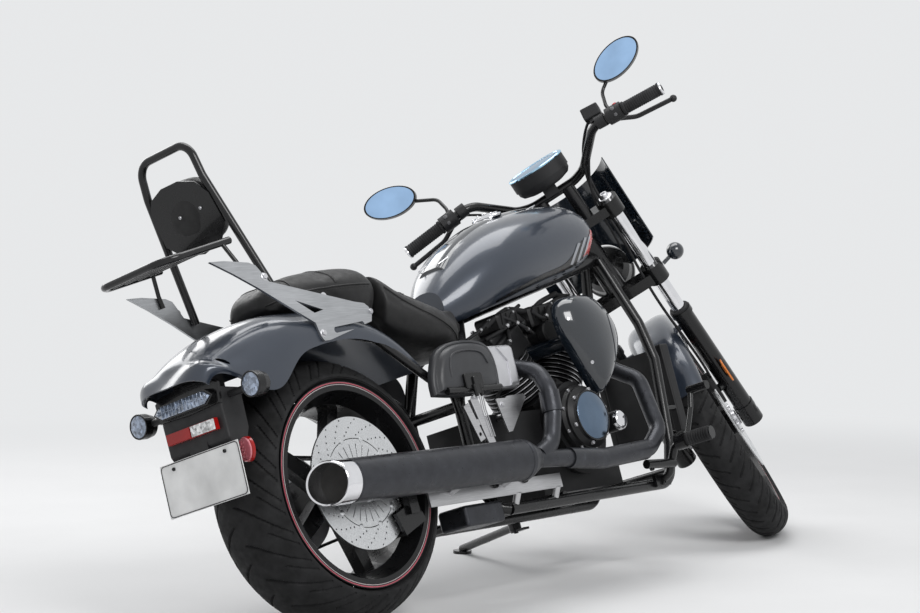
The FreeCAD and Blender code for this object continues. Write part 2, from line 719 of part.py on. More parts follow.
def crankcase():
    half = size("case_half_width - case_step")
    drum = rod(CRANK - Vector(0, half, 0), CRANK + Vector(0, half, 0), 118)
    gearbox = slab(230, 2 * half, 180, (630, 0, 346))
    sump_floor = size("rail_z + mount_radius + mount_lift + seat_gap")
    sump = slab(340, 2 * half - 30, 290 - sump_floor, (850, 0, (290 + sump_floor) / 2))
    decks = [slab(130, 150, 40, tuple(CRANK + bank_direction(s) * (size("deck_height") - 20)),
                  Rotation(Vector(0, 1, 0), s * size("bank_angle"))) for s in (-1, 1)]
    right = Part.makeCylinder(size("clutch_radius + 14"), size("case_step"),
                              Vector(size("clutch_x"), -half, size("clutch_z")),
                              Vector(0, -1, 0))
    left = Part.makeCylinder(104, 40, Vector(CRANK.x, half, CRANK.z), Vector(0, 1, 0))
    boss = rod(CRANK + Vector(126, -60, 2), CRANK + Vector(126, -size("case_half_width"), 2), 27)
    return fuse([drum, gearbox, sump, right, left, boss] + decks)


def cylinder(sign):
    """Barrel with cooling fins, head and rocker cover, along its bank's direction."""
    fins = []
    at = size("deck_height") + 8
    base = Part.makeCylinder(size("barrel_radius"), size("head_base - deck_height") + 2, Vector(0, 0,
                             size("deck_height + seat_gap")))
    while at < size("head_base") - 6:
        fins.append(Part.makeCylinder(size("fin_radius"), size("fin_thick"), Vector(0, 0, at)))
        at += size("fin_pitch")
    tall = size("head_top - head_base")
    head = softened(slab(138, 150, tall, (0, 0, size("head_base") + tall / 2)), 12)
    rocker = softened(slab(104, 124, 36, (0, 0, size("head_top") + 2)), 10)
    whole = fuse([base, head, rocker] + fins)
    whole.Placement = Placement(CRANK, Rotation(Vector(0, 1, 0), sign * size("bank_angle")))
    other_side = slab(300, 300, 500, (CRANK.x - sign * (150 - 2), 0, CRANK.z + 240))
    return whole.cut(other_side)


def round_cover(name, radius, reach, centre, side):
    """A turned cover with a stepped rim, its axis along Y."""
    body = new_body(name)
    sketch = sketch_on(body, "XZ_Plane", name + "_section")
    draw_profile(sketch, [
        ("0", "0"),
        (radius, "0"),
        (radius, "%s * 0.34" % reach),
        ("%s - 7" % radius, "%s * 0.5" % reach),
        ("%s - 7" % radius, "%s * 0.66" % reach),
        ("%s - 20" % radius, "%s * 0.84" % reach),
        ("%s - 25" % radius, reach),
        ("0", reach),
    ])
    revolve(body, sketch, name + "_turned")
    body.Placement = Placement(centre, Rotation(Vector(1, 0, 0), -90 if side == LEFT else 90))
    return node(body, name)


shaped("crankcase", crankcase())
shaped("cylinders", Part.makeCompound([cylinder(-1), cylinder(1)]))
round_cover("clutch_cover", "clutch_radius", "clutch_reach",
            Vector(size("clutch_x"), -size("case_half_width + seat_gap"), size("clutch_z")), RIGHT)
round_cover("generator_cover", "clutch_radius", "clutch_reach - 10",
            Vector(CRANK.x, size("case_half_width - 4 + seat_gap"), CRANK.z), LEFT)
shaped("drive_belt", drive_belt())


AIRBOX = [
    # height, rear, front, depth out of the base
    (450, 886, 908, 22),
    (464, 874, 924, 40),
    (502, 856, 964, 57),
    (550, 832, 1004, 64),
    (606, 806, 1027, 66),
    (662, 798, 1006, 61),
    (698, 818, 974, 46),
    (710, 856, 944, 26),
]
AIRBOX_BASE_Y = -160


def airbox_cover():
    """Teardrop air cleaner between the cylinders, on the right, with its intake stub."""
    rings = []
    for height, rear, front, depth in AIRBOX:
        run = front - rear
        spots = [Vector(rear + run * share, AIRBOX_BASE_Y - depth * out, height) for share, out in (
            (0, 0), (0.03, 0.42), (0.18, 0.8), (0.5, 1), (0.82, 0.8), (0.97, 0.42), (1, 0))]
        skin = Part.BSplineCurve()
        skin.interpolate(spots)
        rings.append(Part.Wire([skin.toShape(), Part.LineSegment(spots[-1], spots[0]).toShape()]))
    cover = Part.makeLoft(rings, True, False)
    stub = rod(Vector(CRANK.x, 0, 600), Vector(CRANK.x, AIRBOX_BASE_Y - 20, 600), 22)
    manifold = rod(Vector(CRANK.x - 90, 0, 600), Vector(CRANK.x + 90, 0, 600), 20)
    return fuse([cover, stub, manifold]).cut(cylinder(-1)).cut(cylinder(1))


shaped("airbox_cover", airbox_cover())


def radiator():
    """Core between two end tanks."""
    core = slab(26, 196, 232, (size("radiator_x") + 15, 0, 455))
    tanks = [softened(slab(38, 26, 250, (size("radiator_x") + 19, side * 108, 455)), 6) for side in (RIGHT,
                                                                                                     LEFT)]
    return fuse([core] + tanks)


shaped("radiator", radiator())

# Exhaust


def header_pipes():
    y = -size("silencer_y")
    front = tube([(1040, -40, 588), (1112, -52, 546), (1122, -150, 480), (1076, y, 330), (1010, y, 284),
                  (800, y, 276), (640, y, 292), (510, y, size("silencer_z"))], size("pipe_radius"))
    rear = tube([(690, -50, 590), (642, -84, 562), (664, -172, 522), (650, y, 470), (642, y, 404),
                 (606, y, 330), (545, y, size("silencer_z") + 6)], size("pipe_radius"))
    shields = [tube([(990, y, 283), (800, y, 276), (660, y, 290)], size("pipe_radius + pipe_shield")),
               rod(Vector(648, y, 462), Vector(643, y, 410), size("pipe_radius + pipe_shield"))]
    return fuse([front, rear] + shields).cut(silencer()).cut(cylinder(-1)).cut(cylinder(1))


def silencer_bracket():
    """Flat bar from the cradle's rear corner, bolted to the silencer."""
    y = -size("silencer_y - silencer_radius") + 5
    bar = slab(510, 6, 36, (424, y, 245))
    arms = [rod(Vector(x, y, 232), Vector(x, -size("rail_y"), size("rail_z")), 9) for x in (500, 660)]
    lugs = [rod(Vector(x, y, 254), Vector(x, -size("silencer_y"), 270), 8) for x in (250, 450)]
    return fuse([bar] + arms + lugs).cut(FRAME).cut(silencer())


def silencer_outlet():
    """The tip's centre and the way out of it."""
    tip = Vector(size("silencer_tip_x"), -size("silencer_y"), size("silencer_z + silencer_rise"))
    joint = Vector(size("silencer_joint_x"), -size("silencer_y"), size("silencer_z"))
    return tip, (tip - joint).normalize()


def silencer():
    tip, way_out = silencer_outlet()
    joint = Vector(size("silencer_joint_x"), -size("silencer_y"), size("silencer_z"))
    radius, neck = size("silencer_radius"), 44
    cone = Part.makeCone(size("pipe_radius + pipe_shield + 6"), radius, neck, joint, way_out)
    band = rod(joint + way_out * neck, joint + way_out * (neck + 12), radius + 1.5)
    can = fuse([cone, band, rod(joint + way_out * neck, tip, radius)])
    return can.cut(rod(tip - way_out * size("outlet_depth"), tip + way_out * 50,
                       size("silencer_radius - silencer_wall")))


shaped("header_pipes", header_pipes())
shaped("silencer", silencer())
shaped("silencer_bracket", silencer_bracket())


def rear_struts():
    """Strut from the cover to the swingarm's pivot, with a drilled strip, and the plate before it."""
    strut = softened(slab(28, 12, 150, (416.6, -158, 422.6), Rotation(Vector(0, 1, 0), -15)), 3)
    face = size("right_arm_y + 18 + seat_gap")
    eye = slab(26, 4, 60, (size("pivot_x"), -face - 2, size("pivot_z + 20")))
    strip = slab(22, 4, 96, (386, -160, 412), Rotation(Vector(0, 1, 0), -20))
    for along in (-32, 0, 32):
        at = strip.Placement.multVec(Vector(0, 0, along))
        strip = strip.cut(rod(at - Vector(0, 5, 0), at + Vector(0, 5, 0), 5))
    tie = slab(30, 4, 14, (402, -160, 412))
    plate = outline_solid([(500, 463), (506, 469), (612, 473), (620, 464), (536, 382), (520, 380)], -152,
                          -148)
    lug = rod(Vector(548, -149, 425), Vector(548, -size("case_half_width - case_step + seat_gap"), 425), 8)
    return Part.makeCompound([largest(shape.cut(side_covers()))
                              for shape in (fuse([strut, eye, strip, tie]), fuse([plate, lug]))])


def electrics_cover():
    """Rounded housing behind the right cover, on a lug of the seat rail."""
    box = softened(slab(112, 40, 112, (566, -132, 547)), 16)
    lug = rod(Vector(530, -125, 560), Vector(476, -86, 556), 8)
    return fuse([box, lug]).cut(FRAME).cut(side_covers())


def exhaust_chamber():
    """Box under the gearbox, behind the cradle's cross tube."""
    box = slab(145, 92, 52, (size("pivot_x - 55.2"), -84, size("rail_z")))
    return largest(softened(box, 9).cut(FRAME))



# Tank, seats and fenders


def crown_ring(at, low, foot, half, belly, shoulder, height, high):
    """A closed section: flat bottom, and one smooth line up the sides and over the
    crown. at(across, up) gives the point; height is the shoulder's."""
    side = [(foot, low), (half - (half - foot) * 0.25, low + (belly - low) * 0.45), (half, belly),
            (shoulder, height)]
    spots = [at(-across, up) for across, up in side] + [at(0, high)] + [at(across, up) for across,
                                                                        up in side[::-1]]
    line = Part.BSplineCurve()
    line.interpolate(spots)
    return Part.Wire([line.toShape(), Part.LineSegment(spots[-1], spots[0]).toShape()])


def loft(rows):
    """A smooth body through sections across the machine; each row starts with its X."""
    return Part.makeLoft([crown_ring(lambda across, up, x=row[0]: Vector(x, across, up),
                                     *row[1:]) for row in rows],
                         True, False)


TANK = [
    # x, low, half width at the bottom, half width, height of the widest, half width
    # at the shoulder, height of the shoulder, high
    (505, 690, 34, 58, 733, 42, 768, 780),
    (560, 692, 56, 96, 756, 70, 818, 836),
    (660, 716, 84, 138, 802, 100, 886, 908),
    (780, 742, 96, 158, 840, 110, 934, 958),
    (900, 770, 102, 164, 870, 112, 960, 985),
    (1020, 800, 98, 160, 886, 110, 974, 999),
    (1090, 824, 84, 144, 896, 102, 968, 993),
    (1126, 852, 56, 104, 908, 74, 946, 968),
]
RIDER_SEAT = [
    (224, 690, 96, 120, 762, 94, 812, 822),
    (250, 672, 102, 128, 745, 100, 800, 808),
    (300, 640, 108, 142, 708, 116, 762, 752),
    (370, 612, 108, 150, 680, 124, 730, 708),
    (440, 604, 92, 138, 664, 108, 712, 696),
    (496, 606, 70, 98, 672, 74, 720, 712),
    (556, 640, 44, 60, 690, 44, 722, 730),
]
PILLION_SEAT = [
    (-126, 690, 40, 60, 736, 46, 762, 768),
    (-92, 690, 66, 94, 752, 74, 790, 800),
    (0, 690, 84, 114, 770, 88, 812, 822),
    (100, 690, 88, 118, 776, 92, 820, 834),
    (186, 700, 86, 114, 778, 88, 820, 832),
    (221, 722, 70, 96, 780, 74, 806, 816),
]


def fuel_tank():
    whole = loft(TANK)
    spine_way = (SPINE_END - on_steer_axis(1040)).normalize()
    tunnel = rod(on_steer_axis(1040) - spine_way * 60, SPINE_END + spine_way * 90,
                 size("backbone_radius + seat_gap"))
    return whole.cut(tunnel).cut(FRAME)


shaped("fuel_tank", fuel_tank())


FENDER_ROWS = [
    # angle above the front, crown and lower edge above the tread, narrower than the widest
    (40, 79, 61, 24),
    (54, 86, 37, 10),
    (72, 92, 25, 2),
    (90, 100, 15, 0),
    (106, 117, 14, 0),
    (120, 151, 8, 2),
    (133, 181, 2, 9),
    (141, 193, 99, 21),
    (147, 195, 157, 46),
]
FRONT_FENDER_ROWS = [
    (58, 22, -10, 16),
    (76, 27, -18, 4),
    (100, 29, -22, 1),
    (130, 30, -24, 1),
    (154, 27, -20, 3),
    (170, 20, -12, 14),
]
# tread radius, axle and half width of what each fender covers
FENDER_OVER = {
    "rear": ("rear_tyre_radius", REAR_AXLE, "fender_half_width"),
    "front": ("front_tyre_radius", FRONT_AXLE, "front_fender_half_width"),
}


def fender_body(end, rows, inset):
    """Solid between radial sections about a wheel's axle; the inset one is the hollow."""
    tread, centre, widest = FENDER_OVER[end]
    tread, widest = size(tread), size(widest)
    rings = []
    for angle, crown, edge, narrower in rows:
        turn = math.radians(angle)
        out = Vector(math.cos(turn), 0, math.sin(turn))
        high, edge, wide = tread + crown - inset, tread + edge, widest - narrower - inset
        low = edge - 30 if inset else edge
        tall = high - edge
        rings.append(crown_ring(lambda across, up, out=out: centre + out * up + Vector(0, across, 0),
                                low, wide * 0.985, wide, edge + tall * 0.3, wide * 0.82,
                                edge + tall * 0.8, high))
    return Part.makeLoft(rings, True, False)


def stretched(rows, angle):
    """The rows carried on past both ends, for a clean cut."""
    first, last = rows[0], rows[-1]
    return [(first[0] - angle, *first[1:])] + rows + [(last[0] + angle, *last[1:])]


def fender_shell(end, rows):
    return fender_body(end, rows, 0).cut(fender_body(end, stretched(rows, 4), size("sheet_wall")))


FENDER_SOLID = fender_body("rear", FENDER_ROWS, -1)
REAR_FENDER = largest(fender_shell("rear", FENDER_ROWS).cut(FRAME))
shaped("rear_fender", REAR_FENDER)

def rider_seat():
    whole = loft(RIDER_SEAT)
    grow = size("rail_radius + seat_gap")
    for rail in (rod(Vector(*SEAT_RAIL_LOW), Vector(*SEAT_RAIL_TOP), grow),):
        whole = whole.cut(rail).cut(mirrored(rail))
    return whole.cut(FENDER_SOLID).cut(FRAME).cut(loft(TANK))


def pillion_seat():
    return loft(PILLION_SEAT).cut(FENDER_SOLID).cut(loft(RIDER_SEAT))


shaped("rider_seat", rider_seat())
shaped("pillion_seat", pillion_seat())


def console():
    """Strip along the tank's crown, from the rear edge to the filler."""
    rows = [(x, high - 26, 20, 46, high - 12, 34, high + 3, high + 8)
            for x, low, foot, half, belly, shoulder, height, high in TANK[1:6]]
    return loft(rows).cut(loft(TANK))


def side_covers():
    """Moulded cover with the folded passenger peg's housing, bossed to the fender rail."""
    outline = [(318, 470), (540, 466), (580, 500), (586, 560), (552, 598), (360, 604), (322, 566)]
    plate = outline_solid(outline, 148, 164)
    plate = plate.makeFillet(6, [e for e in plate.Edges if min(v.Y for v in e.Vertexes) > 163])
    housing = outline_solid([(352, 484), (508, 482), (520, 560), (490, 586), (372, 588), (348, 562)], 160,
                            178)
    housing = housing.makeFillet(7, [e for e in housing.Edges if min(v.Y for v in e.Vertexes) > 177])
    hinge = rod(Vector(346, 176, 494), Vector(522, 176, 492), 9)
    boss = rod(Vector(352, 110, 543), Vector(352, 150, 543), 7)
    return both_sides(fuse([plate, housing, hinge, boss]).cut(FRAME))


PEG_ROOT = Vector(1112, 228, 288)
PEG_WAY = Vector(12, 106, 0).normalize()
PEG_TIP = PEG_ROOT + PEG_WAY * size("peg_collar + peg_free")


def foot_controls():
    """Pegs on brackets, with the brake pedal on the right and the shifter on the left."""
    arm = tube([(1116, size("rail_y") + 15.5, 200), (1116, 176, 216), (1112, 214, 276), (1112, 240, 288)],
               11, 20)
    clamp = slab(64, 10, 34, (1112, size("rail_y") + 20.5, 204))
    peg = fuse([rod(PEG_ROOT, PEG_ROOT + PEG_WAY * size("peg_collar"), size("peg_radius + 6")),
                rod(PEG_ROOT, PEG_TIP, size("peg_radius"))])
    pedal = tube([(1112, 236, 292), (1150, 238, 300), (1196, 240, 372), (1210, 244, 420)], 7, 20)
    pad = rod(Vector(1210, 238, 420), Vector(1210, 300, 420), 12)
    brace = rod(Vector(1002, 190, 246), Vector(1116, 198, 238), 12)
    return both_sides(fuse([arm, clamp, peg, pedal, pad, brace]).cut(FRAME))


def rear_caliper():
    middle = size("rear_disc_y + disc_thick / 2")
    body = slab(84, 36, 56, (124, -middle, 216), Rotation(Vector(0, 1, 0), -20))
    slot = Part.makeCylinder(size("rear_disc_radius + 5"), size("disc_thick") + 10,
                             REAR_AXLE - Vector(0, middle - size("disc_thick") / 2 - 5, 0), Vector(0, -1,
                                                                                                   0))
    lug = slab(30, 20, 80, (132, -size("right_arm_y - 6"), 262))
    return fuse([body.cut(slot), lug]).cut(swingarm())


shaped("rear_struts", rear_struts())
shaped("electrics_cover", electrics_cover())
shaped("exhaust_chamber", exhaust_chamber())
shaped("tank_console", console())
shaped("side_covers", side_covers())
shaped("foot_controls", foot_controls())
shaped("rear_caliper", rear_caliper())


# Backrest, rack and tail


ARM_LEAN = (0.00895, -0.0747)
PAD_CENTRE = Vector(-222, 0, 992)
PAD_UP = Vector(-0.375, 0, 0.927)
PAD_OUT = Vector(0.927, 0, 0.375)


def backrest_pad():
    """Cushion with a crowned front, flat on its back plate."""
    rings = []
    for out, grow in ((-28, 0.9), (-20, 0.98), (0, 1.0), (16, 0.94), (26, 0.74)):
        spots = []
        for step in range(24):
            turn = 2 * math.pi * step / 24
            wide, tall = math.cos(turn), math.sin(turn)
            wide, tall = (math.copysign(abs(value) ** 0.62, value) for value in (wide, tall))
            spots.append(PAD_CENTRE + PAD_OUT * out + Vector(0, 92 * grow * wide,
                                                             0) + PAD_UP * 82 * grow * tall)
        ring = Part.BSplineCurve()
        ring.interpolate(spots, PeriodicFlag=True)
        rings.append(Part.Wire([ring.toShape()]))
    return Part.makeLoft(rings, True, False)


def side_plates():
    """A foot bolted flat to the fender, and an arm that leans in to the backrest's tube."""
    y = size("fender_half_width + seat_gap")
    thick = size("side_plate_thick")
    foot = outline_solid([(-78, 687), (114, 710), (118, 694), (112, 678), (-42, 639), (-60, 638),
                          (-69, 650)],
                         y, y + thick)
    slope_x, slope_z = ARM_LEAN

    def on_arm(x, z):
        return Vector(x, y + slope_x * (x + 78) + slope_z * (z - 687), z)

    across = Vector(-slope_x, 1, -slope_z).normalize() * thick
    outline = [(-78, 681), (114, 704), (114, 712), (102, 722), (68, 727), (-186, 783), (-214, 822),
               (-233, 829), (-307, 834),
               (-350, 832), (-289, 803), (-224, 768)]
    corners = [on_arm(*corner) for corner in outline]
    arm = Part.Face(Part.makePolygon(corners + corners[:1])).extrude(across)
    window = [on_arm(*corner) - across for corner in ((-122, 736), (-40, 711), (-71, 704))]
    arm = arm.cut(Part.Face(Part.makePolygon(window + window[:1])).extrude(across * 3))
    slot_from, slot_to = Vector(-14, y - 5, 662), Vector(78, y - 5, 672)
    through = Vector(0, thick + 10, 0)
    slot = [rod(end, end + through, 7) for end in (slot_from, slot_to)]
    slot.append(slab((slot_to - slot_from).Length, thick + 10, 14,
                     tuple((slot_from + slot_to) / 2 + through / 2),
                     Rotation(Vector(1, 0, 0), slot_to - slot_from)))
    return both_sides(fuse([foot, arm]).cut(fuse(slot)))


def backrest_hoop():
    """Bent tube between the side plates, with the pad's back plate."""
    legs = tube([(-160, 134.4, 765), (-262, 94, 1052), (-276, 84, 1132), (-276, -84, 1132),
                 (-262, -94, 1052),
                 (-160, -134.4, 765)], size("hoop_radius"), 70)
    shield = [(-100, -44), (-98, 30), (-74, 66), (-28, 82), (28, 82), (74, 66), (98, 30), (100, -44),
              (64, -80), (0, -94),
              (-64, -80)]
    corners = [PAD_CENTRE - PAD_OUT * 25 + Vector(0, y, 0) + PAD_UP * up for y, up in shield]
    plate = Part.Face(Part.makePolygon(corners + corners[:1])).extrude(-PAD_OUT * 4)
    return fuse([legs, plate]).cut(side_plates())


RACK_BARS = [(-290, 0, 881), (-330, 0, 872), (-370, 0, 863), (-410, 0, 854)]


def luggage_rack():
    r = size("rack_radius")
    loop = tube([(-250, -118, 890), (-420, -118, 852), (-456, -90, 846), (-456, 90, 846), (-420, 118, 852),
                 (-250, 118, 890)], r, 40)
    bars = [rod(Vector(x, -118, z), Vector(x, 118, z), size("rack_bar_radius")) for x, y, z in RACK_BARS]
    arms = [tube([(-250, s * 134.5, 806), (-258, s * 133.5, 834), (-276, s * 118, 884)], 5,
                 10) for s in (-1, 1)]
    return fuse([loop] + bars + arms).cut(side_plates())


shaped("side_plates", side_plates())
shaped("backrest_hoop", backrest_hoop())
shaped("backrest_pad", backrest_pad().cut(backrest_hoop()))
shaped("luggage_rack", luggage_rack())


TAIL_X = -362
LAMP_Z, SIGNAL_X, SIGNAL_Y, SIGNAL_Z = 549, -334, 187, 546
REFLECTOR = (-336, 116, 418)


def tail_panel():
    """Moulded panel under the fender's end, with the arms of the signals and the plate's bracket."""
    panel = outline_solid([(-300, 560), (TAIL_X - 6, 566), (TAIL_X - 7, 520), (TAIL_X - 4, 452),
                           (TAIL_X + 8, 430), (-318, 430), (-300, 470)], -98, 98)
    panel = softened(panel, 8, lambda edge: abs(edge.Vertexes[0].Y) > 97 and abs(edge.Vertexes[-1].Y) > 97
                     and edge.Vertexes[0].X < TAIL_X + 20 and edge.Vertexes[-1].X < TAIL_X + 20)
    arms = rod(Vector(SIGNAL_X, -SIGNAL_Y, SIGNAL_Z), Vector(SIGNAL_X, SIGNAL_Y, SIGNAL_Z), 8)
    x, y, z = REFLECTOR
    stems = [rod(Vector(SIGNAL_X, side * 90, 440), Vector(x + 6, side * y, z), 6) for side in (RIGHT, LEFT)]
    plate_back = slab(6, 150, 90, (size("plate_x + plate_thick / 2 + seat_gap") + 3, 0,
                                   size("plate_z + plate_height / 2 + 16")))
    neck = slab(14, 60, 60, (TAIL_X + 2, 0, 430))
    hanger = slab(50, 110, 136, (TAIL_X + 37, 0, 622))
    whole = fuse([panel, arms, plate_back, neck, hanger] + stems)
    for side in (RIGHT, LEFT):
        whole = whole.cut(signal(side)).cut(reflector(side))
    return largest(whole.cut(REAR_FENDER).cut(tail_lamp()))


def tail_lamp():
    """Long six-cornered lamp under the fender's end."""
    across, tall = 98, 17
    outline = [(-across, 0), (-across + 22, tall), (across - 22, tall), (across, 0), (across - 22, -tall),
               (22 - across, -tall)]
    corners = [Vector(TAIL_X - 24, y, LAMP_Z + up) for y, up in outline]
    return Part.Face(Part.makePolygon(corners + corners[:1])).extrude(Vector(26, 0, 0))


def signal(side):
    """Bullet housing with its lens to the rear."""
    return turned([(0, -20), (29, -20), (29, -2), (25, 14), (14, 26), (0, 30)],
                  Vector(SIGNAL_X, side * SIGNAL_Y, SIGNAL_Z),
                  Vector(1, 0, 0))


def reflector(side):
    x, y, z = REFLECTOR
    return turned([(0, -7), (24, -7), (28, -3), (28, 3), (0, 3)], Vector(x, side * y, z),
                  Vector(1, side * 0.25, 0))


def rear_reflectors():
    """Two round ones at the sides, and the strip below the lamp."""
    strip = slab(14, 158, 26, (TAIL_X - 10, 0, 488)).cut(tail_panel())
    return Part.makeCompound([strip] + [reflector(side) for side in (RIGHT, LEFT)])


shaped("tail_panel", tail_panel())
shaped("tail_lamp", tail_lamp())
shaped("rear_reflectors", rear_reflectors())
shaped("rear_indicators", Part.makeCompound([signal(side) for side in (RIGHT, LEFT)]))
shaped("number_plate", slab(size("plate_thick"), size("plate_width"), size("plate_height"),
                            (size("plate_x"), 0, size("plate_z + plate_height / 2"))))


# Steering: clamps, fork, bars

def triple_clamps():
    """Both clamps on the stem; the legs pass through them at the fork angle."""
    spread, tube_r = size("fork_spread"), size("fork_tube_radius")
    lower_mid, upper_mid = LOWER_CLAMP, UPPER_CLAMP
    parts = []
    for along, tall in ((lower_mid, size("clamp_height")), (upper_mid, size("upper_clamp_height"))):
        for side in (RIGHT, LEFT):
            parts.append(rod(on_fork(along - tall / 2, side), on_fork(along + tall / 2, side), tube_r + 11))
        mid = (on_fork(along, 0) + on_steer_axis(steer_level(along))) / 2
        parts.append(slab(64, 2 * spread - 30, tall * 0.55, tuple(mid),
                          Rotation(Vector(0, 1, 0), -size("head_angle"))))
    whole = fuse(parts + [rod(on_steer_axis(steer_level(lower_mid) - 7),
                              on_steer_axis(steer_level(upper_mid) + 8),
                              size("stem_radius"))])
    for side in (RIGHT, LEFT):
        whole = whole.cut(rod(on_fork(400, side), on_fork(900, side), tube_r))
    return whole


def fork_tubes():
    return both_sides(rod(on_fork(331, LEFT), on_fork(827, LEFT), size("fork_tube_radius")))


def fork_sliders():
    leg = rod(on_fork(-38, LEFT), on_fork(401, LEFT), size("slider_radius"))
    boss = rod(on_fork(0, LEFT) - Vector(0, 26, 0), on_fork(0, LEFT) + Vector(0, 26, 0), 24)
    collar = rod(on_fork(386, LEFT), on_fork(404, LEFT), size("slider_radius + 4"))
    pinch = rod(on_fork(-38, LEFT), on_fork(30, LEFT), size("slider_radius + 3"))
    leg = fuse([leg, boss, collar, pinch])
    leg = leg.cut(rod(on_fork(331, LEFT), on_fork(420, LEFT), size("fork_tube_radius")))
    leg = leg.cut(rod(on_fork(0, LEFT) - Vector(0, 60, 0), on_fork(0, LEFT) + Vector(0, 60, 0),
                      size("axle_radius")))
    return both_sides(leg)


def front_axle():
    reach = size("fork_spread") + 30
    return rod(FRONT_AXLE - Vector(0, reach, 0), FRONT_AXLE + Vector(0, reach, 0), size("axle_radius"))


BAR_BEND_Y = 200


def bar_end(side):
    """The end of the bar and the way out of it."""
    end = Vector(955, side * size("grip_outer + bar_stub"), 1072)
    return end, (end - Vector(988, side * BAR_BEND_Y, 1100)).normalize()


def handlebar():
    r = size("bar_radius")
    bar = tube([tuple(bar_end(RIGHT)[0]), (988, -BAR_BEND_Y, 1100), (1150, -110, 1062), (1176, -70, 1056),
                (1176, 70, 1056), (1150, 110, 1062), (988, BAR_BEND_Y,
                                                      1100), tuple(bar_end(LEFT)[0])], r, 70)
    risers = [rod(Vector(1217, s * 44, 951), Vector(1177, s * 44, 1052), 19) for s in (RIGHT, LEFT)]
    whole = fuse([bar] + risers).cut(triple_clamps())
    for side in (RIGHT, LEFT):
        end, way_out = bar_end(side)
        whole = whole.cut(rod(end - way_out * size("bar_bore_depth"), end + way_out * 5,
                              size("bar_radius - bar_wall")))
    return largest(whole)


def along_bar_end(y):
    """A point of the bar's outer run at a distance from the middle plane."""
    end, way_out = bar_end(RIGHT if y < 0 else LEFT)
    return end - way_out * (abs(end.y - y) / abs(way_out.y))


def grips():
    outer, inner = along_bar_end(size("grip_outer")), along_bar_end(size("grip_inner"))
    grip = rod(inner, outer, size("grip_radius")).cut(rod(inner, outer, size("bar_radius")))
    return both_sides(grip)


def controls():
    """Switch box, lever with its perch, and the brake's fluid box on the right."""
    inner, box_end = along_bar_end(size("grip_inner") - 2), along_bar_end(size("grip_inner") - 46)
    box = rod(box_end, inner, 24)
    perch_in, perch_out = along_bar_end(212), along_bar_end(238)
    knuckle = inner + Vector(26, -24, -6)
    perch = [rod(perch_in, perch_out, 19), rod((perch_in + perch_out) / 2 + Vector(15, 0, 0), knuckle, 9)]
    lever = tube([tuple(knuckle), (1022, 312, 1064), (1012, 420, 1048)], 6.5, 40)
    ball = Part.makeSphere(10, Vector(1012, 420, 1048))
    bar = handlebar()
    group = largest(fuse([box, lever, ball] + perch).cut(bar))
    fluid = softened(slab(52, 50, 34, (1006, -214, 1136), Rotation(Vector(1, 0, 0), 6)), 4)
    neck = rod(Vector(1000, -222, 1108), Vector(1004, -220, 1122), 9)
    right = fuse([mirrored(group), fluid, neck]).cut(bar)
    return Part.makeCompound([group, right])


MIRRORS = [
    # side, x, y, z of the head's middle
    (RIGHT, 1000, 348, 1226),
    (LEFT, 1000, 384, 1236),
]


def mirrors():
    """Oval heads on bent stems."""
    whole = []
    for side, x, y, z in MIRRORS:
        stem = tube([(976, side * 262, 1096), (988, side * 258, 1128), (x + 6, side * 268, 1172),
                     (x + 8, side * (y - 4), z)], 5, 30)
        rim = Part.makeCylinder(1, 14, Vector(0, 0, -7))
        grow = FreeCAD.Matrix()
        grow.scale(76, 43, 1)
        head = rim.transformGeometry(grow)
        head.Placement = Placement(Vector(x, side * y, z), Rotation(UP, 90) * Rotation(Vector(1, 0, 0), 90)
                                   * Rotation(UP, side * 15))
        clear = rod(along_bar_end(side * size("grip_inner")),
                    along_bar_end(side * (size("grip_inner") - 50)),
                    24 + size("seat_gap"))
        whole.append(fuse([stem, head]).cut(clear))
    return Part.makeCompound(whole)


shaped("triple_clamps", triple_clamps(), True)
shaped("fork_tubes", fork_tubes(), True)
shaped("fork_sliders", fork_sliders(), True)
shaped("front_axle", front_axle(), True)
shaped("handlebar", handlebar(), True)
shaped("grips", grips(), True)
shaped("controls", controls(), True)
shaped("mirrors", mirrors(), True)


def gauge():
    """Wide oval instrument, its face to the rider, on a stay from the bar."""
    rim = Part.makeCylinder(1, 38, Vector(0, 0, -19))
    grow = FreeCAD.Matrix()
    grow.scale(54, 84, 1)
    case = rim.transformGeometry(grow)
    case.Placement = Placement(Vector(1122, 0, 1116), Rotation(Vector(0, 1, 0), -27))
    stay = slab(10, 40, 62, (1150, 0, 1078), Rotation(Vector(0, 1, 0), -20))
    return fuse([case, stay]).cut(handlebar())


LAMP_BACK, LAMP_FRONT = Vector(1392, 0, 866), Vector(1490, 0, 858)


def headlamp():
    """Round lamp with a bracket to the lower clamp."""
    deep, wide = (LAMP_FRONT - LAMP_BACK).Length, size("lamp_radius")
    outline = [(0, 0), (wide * 0.5, 4), (wide * 0.8, 18), (wide * 0.96, 44), (wide, deep - 22),
               (wide + 4, deep - 18), (wide + 4, deep - 6), (wide, deep), (0, deep)]
    shell = turned(outline, LAMP_BACK, LAMP_FRONT - LAMP_BACK)
    stay = rod(Vector(1400, 0, 860), Vector(1396, 0, 770), 14)
    return fuse([shell, stay]).cut(triple_clamps())


